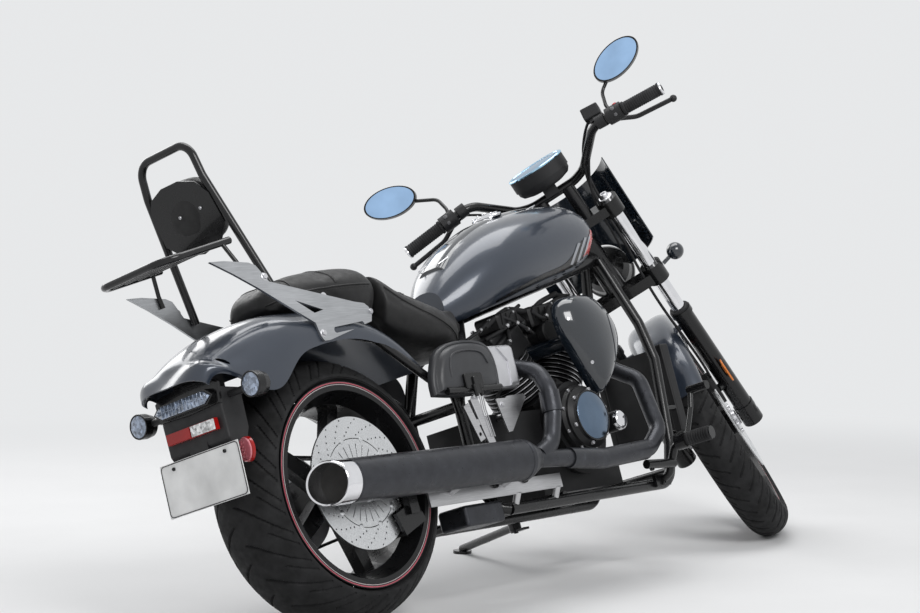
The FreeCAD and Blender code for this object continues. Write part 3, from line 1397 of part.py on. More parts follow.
def headlamp_cowl():
    """Small shield round the lamp, an arc in plan, raked back."""
    wall = size("sheet_wall")
    outer = Part.Arc(Vector(1334, -168, 840), Vector(1470, 0, 840), Vector(1334, 168, 840)).toShape()
    inner = Part.Arc(Vector(1334, 168 - wall, 840), Vector(1470 - wall, 0, 840),
                     Vector(1334, wall - 168, 840)).toShape()
    ends = [Part.LineSegment(Vector(1334, 168, 840), Vector(1334, 168 - wall, 840)).toShape(),
            Part.LineSegment(Vector(1334, wall - 168, 840), Vector(1334, -168, 840)).toShape()]
    face = Part.Face(Part.Wire([outer, ends[0], inner, ends[1]]))
    shell = face.extrude(Vector(-96, 0, 250))
    reach = LAMP_FRONT - LAMP_BACK
    return shell.cut(rod(LAMP_BACK - reach, LAMP_FRONT + reach, size("lamp_radius - 2"))).cut(headlamp())


shaped("gauge", gauge(), True)
shaped("headlamp", headlamp(), True)
shaped("headlamp_cowl", headlamp_cowl(), True)
shaped("front_indicators", both_sides(fuse([rod(Vector(1394, 149, 774), Vector(1400, 190, 787), 6),
                                            Part.makeSphere(25, Vector(1400, 196, 788))])), True)


def front_fender():
    """Sheet over the tyre, with a stay to each slider."""
    shell = fender_shell("front", FRONT_FENDER_ROWS)
    stay_at = on_fork(size("front_tyre_radius + 2"), 0)
    stays = [rod(stay_at + Vector(0, s * size("front_fender_half_width - 7"), 0),
                 stay_at + Vector(0, s * size("fork_spread - slider_radius + 4"), 0), 9) for s in (RIGHT,
                                                                                                   LEFT)]
    return fuse([shell] + stays).cut(fork_sliders())


shaped("front_fender", front_fender(), True)


def front_caliper():
    """Body over the disc's edge, open where the disc runs."""
    inner, outer = size("front_disc_y - 14"), size("front_disc_y + disc_thick + 14")
    body = slab(54, outer - inner, 88, (1630, -(inner + outer) / 2, 436), Rotation(Vector(0, 1, 0), -34))
    room = size("disc_thick") + 2 * PAD_ROOM
    middle = size("front_disc_y + disc_thick / 2")
    lug = rod(Vector(1636, -80, 430), Vector(1672, -106, 440), 12)
    body = fuse([body, lug]).cut(fork_sliders())
    return body.cut(Part.makeCylinder(size("front_disc_radius + 5"), room,
                                      FRONT_AXLE - Vector(0, middle - room / 2, 0),
                                      Vector(0, -1, 0)))


PAD_ROOM = 5
shaped("front_caliper", front_caliper(), True)


shaped("side_stand", side_stand())


# Placements: own place, steering, lean, then the origin under the middle of the box

doc.recompute()
for obj, name, steered in nodes:
    move = LEAN.multiply(TURN) if steered else LEAN
    obj.Placement = move.multiply(obj.Placement)
doc.recompute()
box = FreeCAD.BoundBox()
for obj, name, steered in nodes:
    box.add(obj.Shape.optimalBoundingBox(True, False))
ORIGIN = Vector(box.Center.x, box.Center.y, box.ZMin)
for obj, name, steered in nodes:
    obj.Placement = Placement(-ORIGIN, Rotation()).multiply(obj.Placement)
doc.recompute()

for obj in doc.Objects:
    if "Invalid" in obj.State or "Error" in obj.State:
        raise RuntimeError("%s failed: %s" % (obj.Name, obj.State))
os.makedirs("parts", exist_ok=True)
for obj, name, steered in nodes:
    if obj.Shape.isNull() or not obj.Shape.isValid():
        raise RuntimeError("%s has no valid shape" % name)
    obj.Shape.exportStep("parts/%s.step" % name)


def report_axis(title, point, direction, steered):
    move = Placement(-ORIGIN, Rotation()).multiply(LEAN.multiply(TURN) if steered else LEAN)
    at = move.multVec(point)
    way = move.Rotation.multVec(direction)
    print("%s at %.6f %.6f %.6f along %.6f %.6f %.6f" % (title, *(at / 1000), *way))


report_axis("rear axle", REAR_AXLE, Vector(0, 1, 0), False)
report_axis("front axle", FRONT_AXLE, Vector(0, 1, 0), True)
report_axis("steering", on_steer_axis(1000), STEER_AXIS, False)
report_axis("side stand", STAND_PIVOT, STAND_AXIS, False)
report_axis("silencer outlet", *silencer_outlet(), False)
for side, word in ((RIGHT, "right"), (LEFT, "left")):
    report_axis("bar end " + word, *bar_end(side), True)
    report_axis("peg " + word, Vector(PEG_TIP.x, side * PEG_TIP.y, PEG_TIP.z),
                Vector(PEG_WAY.x, side * PEG_WAY.y, 0),
                False)
report_axis("plate face", Vector(size("plate_x - plate_thick / 2"), 0, size("plate_z + plate_height / 2")),
            Vector(-1, 0, 0), False)
print("side stand swings %.2f" % STAND_SWING)
print("box %.1f %.1f %.1f" % (box.XLength, box.YLength, box.ZLength))
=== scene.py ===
import json
import math

import bmesh
import bpy
import numpy as np
from mathutils import Matrix, Vector
from mathutils.bvhtree import BVHTree


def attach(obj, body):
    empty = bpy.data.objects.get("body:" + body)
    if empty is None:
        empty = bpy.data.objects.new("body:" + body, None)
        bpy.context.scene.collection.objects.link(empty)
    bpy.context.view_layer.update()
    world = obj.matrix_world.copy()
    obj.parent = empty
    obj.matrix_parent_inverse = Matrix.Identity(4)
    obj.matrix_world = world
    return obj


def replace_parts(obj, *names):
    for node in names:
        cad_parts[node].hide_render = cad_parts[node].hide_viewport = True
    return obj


bl_info = {
    "name": "Cruiser Motorcycle",
    "version": (1, 0, 0),
    "blender": (4, 5, 0),
    "location": "3D Viewport > Sidebar > Cruiser",
    "description": "Finishes and detail pieces of a cruiser motorcycle on its side stand",
    "category": "Add Mesh",
}

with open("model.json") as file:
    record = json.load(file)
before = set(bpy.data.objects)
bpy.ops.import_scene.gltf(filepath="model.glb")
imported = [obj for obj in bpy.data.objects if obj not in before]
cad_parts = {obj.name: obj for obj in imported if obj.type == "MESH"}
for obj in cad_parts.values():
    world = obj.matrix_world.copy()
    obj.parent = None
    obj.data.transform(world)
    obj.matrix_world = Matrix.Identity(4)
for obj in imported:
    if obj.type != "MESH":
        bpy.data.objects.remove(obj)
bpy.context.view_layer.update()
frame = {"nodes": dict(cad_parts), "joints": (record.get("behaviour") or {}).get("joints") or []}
JOINTS = {joint["name"]: joint for joint in frame["joints"]}
RIGHT, LEFT = -1, 1


# Places on the motorcycle: upright, X forward, Y left, Z up, in millimetres, from the
# ground under the rear axle. The frame's joints say how it stands.

WHEEL_BASE, TRAIL, AXLE_HEIGHT = 1750.0, 109.0, 312.6
FRONT_AXLE_HEIGHT, FORK_SPREAD = 350.7, 116.0
HEAD_ANGLE, STOP_ANGLE, FORK_ANGLE = (math.radians(a) for a in (33.4, 32.8, 40.5))
REAR_AXLE = Vector((0, 0, AXLE_HEIGHT))
FRONT_AXLE = Vector((WHEEL_BASE, 0, FRONT_AXLE_HEIGHT))
STEER_FOOT = Vector((WHEEL_BASE + TRAIL, 0, 0))
STEER_AXIS = Vector((-math.sin(HEAD_ANGLE), 0, math.cos(HEAD_ANGLE)))
FORK_AXIS = Vector((-math.sin(FORK_ANGLE), 0, math.cos(FORK_ANGLE)))


def axes_matrix(across, along):
    """The rotation whose Y is across and whose Z is near along."""
    y = Vector(across).normalized()
    x = y.cross(Vector(along)).normalized()
    return Matrix((x, y, x.cross(y))).transposed()


def standing():
    """From upright millimetres to the parked motorcycle in metres."""
    rear = JOINTS["rear_wheel_spin"]
    turn = axes_matrix(rear["axis"], JOINTS["steering_turn"]["axis"]) @ axes_matrix((0, 1, 0), STEER_AXIS).transposed()
    return (Matrix.Translation(Vector(rear["pos_m"])) @ turn.to_4x4() @ Matrix.Diagonal((0.001, 0.001, 0.001, 1))
            @ Matrix.Translation(-REAR_AXLE))


PARKED = standing()
TURNED = (PARKED @ Matrix.Translation(STEER_FOOT) @ Matrix.Rotation(STOP_ANGLE, 4, STEER_AXIS)
          @ Matrix.Translation(-STEER_FOOT))
BODY_PLACE = {"chassis": PARKED, "rear_wheel": PARKED, "side_stand": PARKED, "steering": TURNED, "front_wheel": TURNED}


# Finishes


def linked(owner, kind, result, inputs=(), **settings):
    """The result of a new node, with its inputs set or linked."""
    tree = owner.node_tree
    node = tree.nodes.new("ShaderNode" + kind)
    for name, value in settings.items():
        setattr(node, name, value)
    for socket, value in dict(inputs).items():
        if isinstance(value, bpy.types.NodeSocket):
            tree.links.new(value, node.inputs[socket])
        else:
            node.inputs[socket].default_value = value
    return node.outputs[result]


def shader_of(material):
    return material.node_tree.nodes["Principled BSDF"]


def new_finish(name, colour, roughness=0.5, metallic=0.0, **sockets):
    """A material with the shader's own constants set."""
    material = bpy.data.materials.new(name)
    material.use_nodes = True
    values = {"Base Color": (*colour, 1), "Roughness": roughness, "Metallic": metallic}
    values.update({socket.replace("_", " "): value for socket, value in sockets.items()})
    for socket, value in values.items():
        shader_of(material).inputs[socket].default_value = value
    return material


def place_of(material, scale=(1, 1, 1)):
    """Where a texture reads its place on the piece."""
    where = linked(material, "TexCoord", "Object")
    return linked(material, "Mapping", "Vector", {"Scale": scale, "Vector": where})


def noise(material, scale, detail=3.0, place=None, roughness=0.5):
    return linked(material, "TexNoise", "Fac", {"Scale": scale, "Detail": detail, "Roughness": roughness,
                                                "Vector": place or place_of(material)})


def cells(material, scale, output="Distance"):
    return linked(material, "TexVoronoi", output, {"Scale": scale, "Vector": place_of(material)})


def spread(material, factor, low, high, start=0.3, end=0.7):
    """A factor mapped onto a range."""
    return linked(material, "MapRange", "Result", {"From Min": start, "From Max": end, "To Min": low, "To Max": high,
                                                   "Value": factor})


def tint(material, factor, colour, *stops):
    """Colour the surface by a factor; a stop is (position, times the colour)."""
    tree = material.node_tree
    node = tree.nodes.new("ShaderNodeValToRGB")
    elements = node.color_ramp.elements
    while len(elements) < len(stops):
        elements.new(0.5)
    for element, (position, share) in zip(elements, stops):
        element.position = position
        element.color = (*shade(colour, share), 1)
    tree.links.new(factor, node.inputs["Fac"])
    tree.links.new(node.outputs["Color"], shader_of(material).inputs["Base Color"])


def gloss(material, factor, low, high):
    material.node_tree.links.new(spread(material, factor, low, high), shader_of(material).inputs["Roughness"])


def bump(material, height, distance, strength=1.0):
    """Raise the surface by a height, over any bump that it has."""
    normal = shader_of(material).inputs["Normal"]
    inputs = {"Distance": distance, "Strength": strength, "Height": height}
    if normal.is_linked:
        inputs["Normal"] = normal.links[0].from_socket
    material.node_tree.links.new(linked(material, "Bump", "Normal", inputs), normal)


def shade(colour, factor):
    return tuple(min(1.0, channel * factor) for channel in colour)


def coated(name, colour, low, high, grain=900.0, lift=0.00004, **sockets):
    """Paint or powder coat: slight colour change, worn gloss and a fine skin."""
    material = new_finish(name, colour, **sockets)
    tint(material, noise(material, 9, 5), colour, (0.3, 0.82), (0.7, 1.2))
    gloss(material, noise(material, 30, 4), low, high)
    bump(material, noise(material, grain, 2), lift)
    return material


def metallic_paint(name, colour):
    """Base coat with flakes under clear lacquer."""
    material = new_finish(name, colour, metallic=0.4, Coat_Weight=1.0, Coat_Roughness=0.12)
    flakes = spread(material, cells(material, 1400, "Color"), 0.75, 1.3, 0, 1)
    tint(material, flakes, colour, (0.0, 0.7), (1.0, 1.45))
    gloss(material, noise(material, 14, 3), 0.3, 0.4)
    bump(material, noise(material, 260, 2), 0.00001)
    return material


def bright_metal(name, colour, low, high, grain=200.0, lift=0.00002):
    material = new_finish(name, colour, metallic=1.0)
    tint(material, noise(material, 12, 4), colour, (0.3, 0.86), (0.7, 1.08))
    gloss(material, noise(material, 45, 5), low, high)
    bump(material, noise(material, grain, 3), lift)
    return material


def brushed_metal(name, colour, low, high, scale=(20, 900, 900)):
    material = new_finish(name, colour, metallic=1.0, Anisotropic=0.4)
    lines = noise(material, 1, 3, place_of(material, scale))
    tint(material, lines, colour, (0.3, 0.82), (0.7, 1.1))
    gloss(material, noise(material, 18, 4), low, high)
    bump(material, lines, 0.00004)
    return material


def dark_coating(name, colour):
    """Heat-proof satin coat over steel, greyer where it has worn."""
    material = new_finish(name, colour, metallic=0.65)
    tint(material, noise(material, 26, 7, roughness=0.65), colour, (0.35, 0.75), (0.62, 1.0), (0.78, 2.0))
    gloss(material, noise(material, 60, 4), 0.26, 0.42)
    bump(material, noise(material, 700, 3), 0.00004)
    return material


def ribbed_lens(name, colour):
    """Pale lens over a bright reflector, moulded in small cells."""
    material = new_finish(name, colour, metallic=0.35, Coat_Weight=1.0, Coat_Roughness=0.03)
    facets = spread(material, cells(material, 150, "Color"), 0, 1, 0.1, 0.9)
    tint(material, facets, colour, (0.0, 0.45), (0.55, 1.0), (1.0, 1.7))
    gloss(material, noise(material, 90, 3), 0.1, 0.22)
    bump(material, cells(material, 150), 0.0012, 0.7)
    return material


def soft_rubber(name, colour):
    material = new_finish(name, colour, roughness=0.8, Specular_IOR_Level=0.25)
    tint(material, noise(material, 22, 6), colour, (0.35, 0.7), (0.72, 1.7))
    gloss(material, noise(material, 60, 4), 0.62, 0.86)
    bump(material, noise(material, 1200, 2), 0.00006)
    return material


def leather(name, colour):
    """Pebbled grain with creases and a dull sheen."""
    material = new_finish(name, colour, Sheen_Weight=0.05, Sheen_Roughness=0.4, Specular_IOR_Level=0.35)
    creases = noise(material, 38, 6)
    tint(material, creases, colour, (0.32, 0.7), (0.7, 1.5))
    gloss(material, noise(material, 70, 5), 0.4, 0.58)
    bump(material, creases, 0.0006, 0.5)
    bump(material, cells(material, 620), 0.00022, 0.8)
    return material


def moulded_plastic(name, colour, low=0.42, high=0.6):
    material = new_finish(name, colour, Specular_IOR_Level=0.35)
    tint(material, noise(material, 16, 4), colour, (0.3, 0.85), (0.7, 1.25))
    gloss(material, noise(material, 40, 3), low, high)
    bump(material, cells(material, 1500), 0.00003)
    return material


FINISH, SLOT_OF = {}, {}


def make_finishes(paint):
    """Every finish of the motorcycle: name, the record's slot, kind, colour, numbers, sockets."""
    black = tuple(paint.black_colour)
    rows = [
        ("graphite_paint", "graphite_paint", metallic_paint, tuple(paint.body_colour)),
        ("gloss_black", "frame_black", coated, black, (0.18, 0.32), {"Coat_Weight": 0.25, "Specular_IOR_Level": 0.3}),
        ("engine_black", "engine_black", coated, shade(black, 1.3), (0.36, 0.5, 700, 0.00008),
         {"Specular_IOR_Level": 0.28}),
        ("wheel_black", "wheel_black", coated, black, (0.22, 0.36), {"Coat_Weight": 0.15, "Specular_IOR_Level": 0.25}),
        ("chrome", "chrome_plate", bright_metal, (0.82, 0.82, 0.84), (0.06, 0.14)),
        ("cast_alloy", "bare_aluminium", bright_metal, (0.62, 0.62, 0.64), (0.32, 0.48, 420, 0.00006)),
        ("satin_steel", "exhaust_steel", brushed_metal, (0.52, 0.52, 0.53), (0.28, 0.4)),
        ("exhaust_steel", "exhaust_steel", dark_coating, (0.045, 0.047, 0.054)),
        ("deep_gloss", "graphite_paint", coated, (0.008, 0.012, 0.018), (0.1, 0.18, 300, 0.000004),
         {"Coat_Weight": 1.0, "Coat_Roughness": 0.04}),
        ("disc_steel", "disc_steel", brushed_metal, (0.66, 0.67, 0.68), (0.22, 0.34, (400, 20, 400))),
        ("tyre_rubber", "tyre", soft_rubber, tuple(paint.rubber_colour)),
        ("belt_rubber", "belt_rubber", soft_rubber, (0.02, 0.02, 0.021)),
        ("grip_rubber", "grip_rubber", soft_rubber, (0.018, 0.018, 0.019)),
        ("black_leather", "black_leather", leather, tuple(paint.leather_colour)),
        ("black_plastic", "black_plastic", moulded_plastic, (0.013, 0.013, 0.014)),
        ("cover_plastic", "black_plastic", moulded_plastic, (0.035, 0.036, 0.039), (0.3, 0.42)),
        ("grey_plastic", "black_plastic", moulded_plastic, (0.1, 0.1, 0.105)),
        ("red_lens", "red_lens", coated, (0.34, 0.006, 0.005), (0.1, 0.2, 260, 0.0002),
         {"Coat_Weight": 0.3, "Specular_IOR_Level": 0.3}),
        ("orange_lens", "red_lens", coated, (0.75, 0.2, 0.01), (0.08, 0.16, 260, 0.0002), {"Coat_Weight": 1.0}),
        ("plate_white", "plate_white", coated, (0.8, 0.8, 0.79), (0.3, 0.42, 400, 0.00002)),
        ("rim_pink", "red_lens", coated, (0.42, 0.07, 0.1), (0.3, 0.42, 500, 0.00002), {"Coat_Weight": 0.3}),
        ("rim_white", "plate_white", coated, (0.45, 0.4, 0.4), (0.3, 0.42, 500, 0.00002), {"Coat_Weight": 0.3}),
        ("reflector_pink", "red_lens", coated, (0.72, 0.2, 0.24), (0.12, 0.2, 300, 0.0001), {"Coat_Weight": 1.0}),
        ("band_grey", "graphite_paint", metallic_paint, (0.2, 0.21, 0.23)),
        ("stripe_red", "red_lens", coated, (0.5, 0.02, 0.018), (0.2, 0.3, 500, 0.00001), {"Coat_Weight": 0.8}),
        # the mirrors' blue colour is a painted reflection of a blue sky
        ("mirror_glass", "chrome_plate", bright_metal, (0.4, 0.6, 0.88), (0.015, 0.03, 40, 0.000001)),
        # the gauge glass is a dark blue mirror: a painted reflection of a blue sky over the black dial
        ("dial_glass", "black_plastic", bright_metal, (0.12, 0.3, 0.5), (0.05, 0.1, 60, 0.000002)),
        # the bezel's chrome is blue as a painted reflection of a blue sky
        ("blued_chrome", "chrome_plate", bright_metal, (0.42, 0.66, 0.85), (0.08, 0.16)),
        ("smoked_steel", "chrome_plate", bright_metal, (0.13, 0.18, 0.25), (0.12, 0.2, 60, 0.00001)),
        ("lamp_ribs", "clear_lens", ribbed_lens, (0.26, 0.31, 0.4)),
        ("lamp_white", "clear_lens", ribbed_lens, (0.6, 0.6, 0.6)),
        ("satin_plate", "exhaust_steel", brushed_metal, (0.44, 0.45, 0.465), (0.28, 0.4)),
        ("soot", "exhaust_steel", coated, (0.014, 0.013, 0.012), (0.75, 0.9, 500, 0.0001)),
        ("seam_thread", "black_leather", soft_rubber, (0.035, 0.034, 0.034)),
    ]
    for name, slot, kind, colour, *rest in rows:
        numbers, sockets = rest[0] if rest else (), rest[1] if len(rest) > 1 else {}
        FINISH[name], SLOT_OF[name] = kind(name, colour, *numbers, **sockets), slot


# The frame's parts by finish; a part that isn't named here is gloss black.
PARTS_IN = {
    "belt_rubber": "drive_belt",
    "black_leather": "backrest_pad pillion_seat rider_seat",
    "black_plastic": "controls gauge tail_panel",
    "cast_alloy": "electrics_cover front_axle rear_axle rear_pulley",
    "chrome": "fork_tubes",
    "cover_plastic": "side_covers",
    "deep_gloss": "airbox_cover front_indicators headlamp_cowl tank_console",
    "disc_steel": "front_disc rear_disc",
    "engine_black": "clutch_cover crankcase cylinders generator_cover radiator",
    "exhaust_steel": "exhaust_chamber header_pipes silencer",
    "graphite_paint": "front_fender fuel_tank rear_fender",
    "grip_rubber": "grips",
    "plate_white": "number_plate",
    "red_lens": "rear_reflectors",
    "satin_plate": "side_plates",
    "satin_steel": "rear_struts silencer_bracket",
    "tyre_rubber": "front_tyre rear_tyre",
    "wheel_black": "front_rim rear_rim",
}
CAD_FINISH = {part: finish for finish, parts in PARTS_IN.items() for part in parts.split()}


class PaintSettings(bpy.types.PropertyGroup):
    body_colour: bpy.props.FloatVectorProperty(
        name="Body colour", description="Base coat of the tank, fenders and cowl", subtype="COLOR", size=3,
        min=0, max=1, default=(0.014, 0.02, 0.032))
    black_colour: bpy.props.FloatVectorProperty(
        name="Black colour", description="Frame, fork and wheels", subtype="COLOR", size=3,
        min=0, max=1, default=(0.006, 0.006, 0.0065))
    leather_colour: bpy.props.FloatVectorProperty(
        name="Leather colour", description="Seats and backrest pad", subtype="COLOR", size=3,
        min=0, max=1, default=(0.008, 0.0078, 0.008))
    rubber_colour: bpy.props.FloatVectorProperty(
        name="Tyre colour", description="Tread and side walls", subtype="COLOR", size=3,
        min=0, max=1, default=(0.01, 0.01, 0.0105))


class StageSettings(bpy.types.PropertyGroup):
    floor_colour: bpy.props.FloatVectorProperty(
        name="Floor colour", description="Floor and background", subtype="COLOR", size=3,
        min=0, max=1, default=(0.8, 0.8, 0.8))
    lens_length: bpy.props.FloatProperty(
        name="Lens", description="Focal length of the camera in millimetres", default=83.27, min=10, max=300)
    key_power: bpy.props.FloatProperty(
        name="Key light", description="Power of the large lamp above the right side", subtype="POWER", default=110.0,
        min=0)


class CRUISER_OT_finishes(bpy.types.Operator):
    """Make the finishes and give one to every part of the frame"""
    bl_idname = "cruiser.finishes"
    bl_label = "Finishes"

    def execute(self, context):
        make_finishes(context.scene.cruiser_paint)
        for name, part in frame["nodes"].items():
            part.data.materials.clear()
            part.data.materials.append(FINISH[CAD_FINISH.get(name, "gloss_black")])
        return {"FINISHED"}


# Shapes: points in millimetres on the upright motorcycle, and faces


def joined(*shapes):
    points, faces = [], []
    for more_points, more_faces in shapes:
        base = len(points)
        points.extend(more_points)
        faces.extend(tuple(base + index for index in face) for face in more_faces)
    return points, faces


def mirrored(shape):
    points, faces = shape
    return [Vector((p[0], -p[1], p[2])) for p in points], faces


def both_sides(shape):
    return joined(shape, mirrored(shape))


def placed(shape, centre, across, along):
    """A flat-lying shape stood at a centre, its Y across and its Z near along."""
    turn = axes_matrix(across, along)
    return [Vector(centre) + turn @ Vector(p) for p in shape[0]], shape[1]


def rings_of(rows, closed=True, capped=True):
    """Skin over rows of equally many points."""
    count = len(rows[0])
    points = [Vector(p) for row in rows for p in row]
    faces = []
    for row in range(len(rows) - 1):
        for step in range(count if closed else count - 1):
            a, b = row * count + step, row * count + (step + 1) % count
            faces.append((a, b, b + count, a + count))
    if capped and closed:
        faces.append(tuple(range(count)))
        faces.append(tuple(range((len(rows) - 1) * count, len(rows) * count)))
    return points, faces


def turned(profile, centre, axis, steps=36, capped=True):
    """A lathe's work: (radius, along) pairs about an axis."""
    axis = Vector(axis).normalized()
    side = axis.orthogonal().normalized()
    other = axis.cross(side)
    rows = []
    for radius, along in profile:
        middle = Vector(centre) + axis * along
        rows.append([middle + (side * math.cos(turn) + other * math.sin(turn)) * max(radius, 0.05)
                     for turn in (2 * math.pi * step / steps for step in range(steps))])
    return rings_of(rows, True, capped)


def oval(profile, centre, across, along, wide, tall, steps=48):
    """The same about an oval: (share of the half axes, out) pairs."""
    rows = [[Vector((tall * share * math.cos(turn), wide * share * math.sin(turn), out))
             for turn in (2 * math.pi * step / steps for step in range(steps))] for share, out in profile]
    return placed(rings_of(rows), centre, across, along)


def softly(points, parts=6):
    """A smooth line through points."""
    points = [Vector(p) for p in points]
    ends = [points[0] * 2 - points[1], *points, points[-1] * 2 - points[-2]]
    line = []
    for before, start, end, after in zip(ends, ends[1:], ends[2:], ends[3:]):
        for part in range(parts):
            t = part / parts
            line.append(0.5 * ((2 * start) + (end - before) * t + (2 * before - 5 * start + 4 * end - after) * t * t
                               + (3 * start - before - 3 * end + after) * t ** 3))
    return line + [points[-1]]


def swept(line, radius, steps=10):
    """A round bar along a line."""
    line = [Vector(p) for p in line]
    way = (line[1] - line[0]).normalized()
    side = way.orthogonal().normalized()
    rows = []
    for index, point in enumerate(line):
        ahead = line[min(index + 1, len(line) - 1)] - line[max(index - 1, 0)]
        way = ahead.normalized()
        side = (side - way * side.dot(way)).normalized()
        other = way.cross(side)
        rows.append([point + (side * math.cos(turn) + other * math.sin(turn)) * radius
                     for turn in (2 * math.pi * step / steps for step in range(steps))])
    return rings_of(rows)


def plate(outline, thick, edge=1.0):
    """A flat plate in X and Y with eased edges, upwards from zero."""
    middle = sum((Vector((x, y, 0)) for x, y in outline), Vector()) / len(outline)
    reach = sum((Vector((x, y, 0)) - middle).length for x, y in outline) / len(outline)
    inner = 1 - edge / reach
    rows = []
    for share, height in ((inner, 0), (1, edge), (1, thick - edge), (inner, thick)):
        rows.append([middle + (Vector((x, y, 0)) - middle) * share + Vector((0, 0, height)) for x, y in outline])
    return rings_of(rows)


def rounded(length, width, radius, steps=5):
    """Outline of a rectangle with round corners."""
    outline = []
    for quarter, (x, y) in enumerate(((1, 1), (-1, 1), (-1, -1), (1, -1))):
        for step in range(steps + 1):
            turn = (quarter + step / steps) * math.pi / 2
            outline.append((x * (length / 2 - radius) + radius * math.cos(turn),
                            y * (width / 2 - radius) + radius * math.sin(turn)))
    return outline


def on_fork(along, side=0):
    return FRONT_AXLE + Vector((0, side * FORK_SPREAD, 0)) + FORK_AXIS * along


# What carries the pieces: rays onto the frame's own surfaces

SURFACES = {}


def surface_of(name):
    if name not in SURFACES:
        mesh = (frame["nodes"][name] if name in frame["nodes"] else bpy.data.objects[name]).data
        SURFACES[name] = BVHTree.FromPolygons([v.co.copy() for v in mesh.vertices],
                                              [tuple(p.vertices) for p in mesh.polygons])
    return SURFACES[name]


CAMERA_FROM_AXLE = Vector((-3.5854, -3.3325, 0.6615))
LOOK = (Matrix.Rotation(math.radians(39.34) - math.pi / 2, 3, "Z")
        @ Matrix.Rotation(math.pi / 2 - math.radians(2.68), 3, "X") @ Matrix.Rotation(math.radians(0.09), 3, "Z"))
FOCUS, PHOTO_MIDDLE = 2128.2, (460, 306.5)


def back_upright(hit, normal, way):
    """A hit and its normal, turned against the ray, on the upright motorcycle."""
    if normal.dot(way) > 0:
        normal = -normal
    back = PARKED.inverted()
    return back @ hit, (back.to_3x3() @ normal).normalized()


def seen_at(name, across, down):
    """The place and outward direction on a part, where the photograph shows it."""
    eye = Vector(JOINTS["rear_wheel_spin"]["pos_m"]) + CAMERA_FROM_AXLE
    way = (LOOK @ Vector((across - PHOTO_MIDDLE[0], PHOTO_MIDDLE[1] - down, -FOCUS))).normalized()
    tree = surface_of(name)
    hit, normal = tree.ray_cast(eye, way)[:2]
    if hit is None:
        hit, normal = tree.find_nearest(eye + way * 5.0)[:2]
        for _ in range(12):
            hit, normal = tree.find_nearest(eye + way * (hit - eye).dot(way))[:2]
    return back_upright(hit, normal, way)


def touched(name, start, way):
    """The place on a part that a straight line from a start meets."""
    way = (PARKED.to_3x3() @ Vector(way)).normalized()
    hit, normal = surface_of(name).ray_cast(PARKED @ Vector(start), way)[:2]
    return (None, None) if hit is None else back_upright(hit, normal, way)


def put(name, shape, finish, body="chassis", crease=38.0):
    """Make a piece of a shape, in its finish, on the body that carries it."""
    place = BODY_PLACE[body]
    points, faces = shape
    mesh = bpy.data.meshes.new(name)
    mesh.from_pydata([place @ Vector(p) for p in points], [], faces)
    work = bmesh.new()
    work.from_mesh(mesh)
    bmesh.ops.recalc_face_normals(work, faces=work.faces)
    work.to_mesh(mesh)
    work.free()
    mesh.polygons.foreach_set("use_smooth", [True] * len(mesh.polygons))
    mesh.set_sharp_from_angle(angle=math.radians(crease))
    mesh.materials.append(FINISH[finish])
    piece = bpy.data.objects.new(name, mesh)
    bpy.context.scene.collection.objects.link(piece)
    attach(piece, body)
    return piece


def bolt(place, way, radius, sunk=0.0):
    """Round socket head."""
    profile = [(radius * 0.9, -sunk - 0.6), (radius, -sunk), (radius, radius * 0.7), (radius * 0.86, radius * 0.92),
               (radius * 0.56, radius * 0.92), (radius * 0.5, radius * 0.4), (0, radius * 0.4)]
    return turned(profile, place, way, 18)


def hexagon(place, way, radius):
    """Six-cornered head on its washer."""
    head = turned([(radius, 0), (radius, radius * 0.55), (radius * 0.86, radius * 0.7), (0, radius * 0.7)],
                  Vector(place) + Vector(way) * 0.6, way, 6)
    washer = turned([(radius * 1.25, -0.5), (radius * 1.3, 0.3), (radius * 1.2, 0.8), (0, 0.8)], place, way, 20)
    return joined(head, washer)


# Wheels


def tyre_skin(centre, radius, crown, half, bead, foot, pitches, steps, across, groove):
    """Tread with cut grooves, shoulders and side walls, all round the wheel."""
    arc = math.asin(half / crown)
    sections = []
    for index in range(across + 1):
        share = 2 * index / across - 1
        turn = arc * share
        sections.append((crown * math.sin(turn), radius - crown + crown * math.cos(turn), share))
    edge_y, edge_r = sections[-1][0], sections[-1][1]
    wall = [(edge_y + 1.4, edge_r - 3.5), (edge_y + 1.2, edge_r - 7), (edge_y - 1.2, edge_r - 8.2),
            (edge_y - 1.4, edge_r - 9.6), (foot + 4, bead + 18.5), (foot + 1, bead + 16), (foot - 1, bead + 13.6),
            (foot - 6, bead + 12)]
    left = [(y, r, None) for y, r in wall]
    right = [(-y, r, None) for y, r in reversed(wall)]
    rows = right + sections + left
    count = pitches * steps
    around = np.arange(count) / steps
    points = np.empty((len(rows), count, 3))
    angle = 2 * np.pi * np.arange(count) / count
    for index, (y, r, share) in enumerate(rows):
        depth = 0.0 if share is None else groove(around, share)
        points[index, :, 0] = centre.x + (r - depth) * np.cos(angle)
        points[index, :, 1] = y
        points[index, :, 2] = centre.z + (r - depth) * np.sin(angle)
    return rings_of([list(map(Vector, row)) for row in points], True, False)


def cut(around, middle, width):
    """Share of a groove's depth at places round the tread, in pitches."""
    gap = np.abs((around - middle + 0.5) % 1.0 - 0.5)
    return np.clip((width - gap) / (width * 0.35), 0, 1)


def rear_grooves(around, share):
    """Long swept grooves from near the middle, and short ones at the shoulder."""
    side, reach = (0.0 if share < 0 else 0.5), abs(share)
    depth = np.zeros_like(around)
    if 0.05 < reach < 0.97:
        width = 0.05 * min(1.0, (reach - 0.05) / 0.12) * (1 - 0.25 * reach)
        depth = np.maximum(depth, cut(around, side + 1.25 * reach ** 1.35, width))
    if 0.52 < reach < 0.99:
        width = 0.04 * min(1.0, (reach - 0.52) / 0.1)
        depth = np.maximum(depth, cut(around, side + 0.45 + 1.2 * reach ** 1.6, width))
    return depth * 5.0


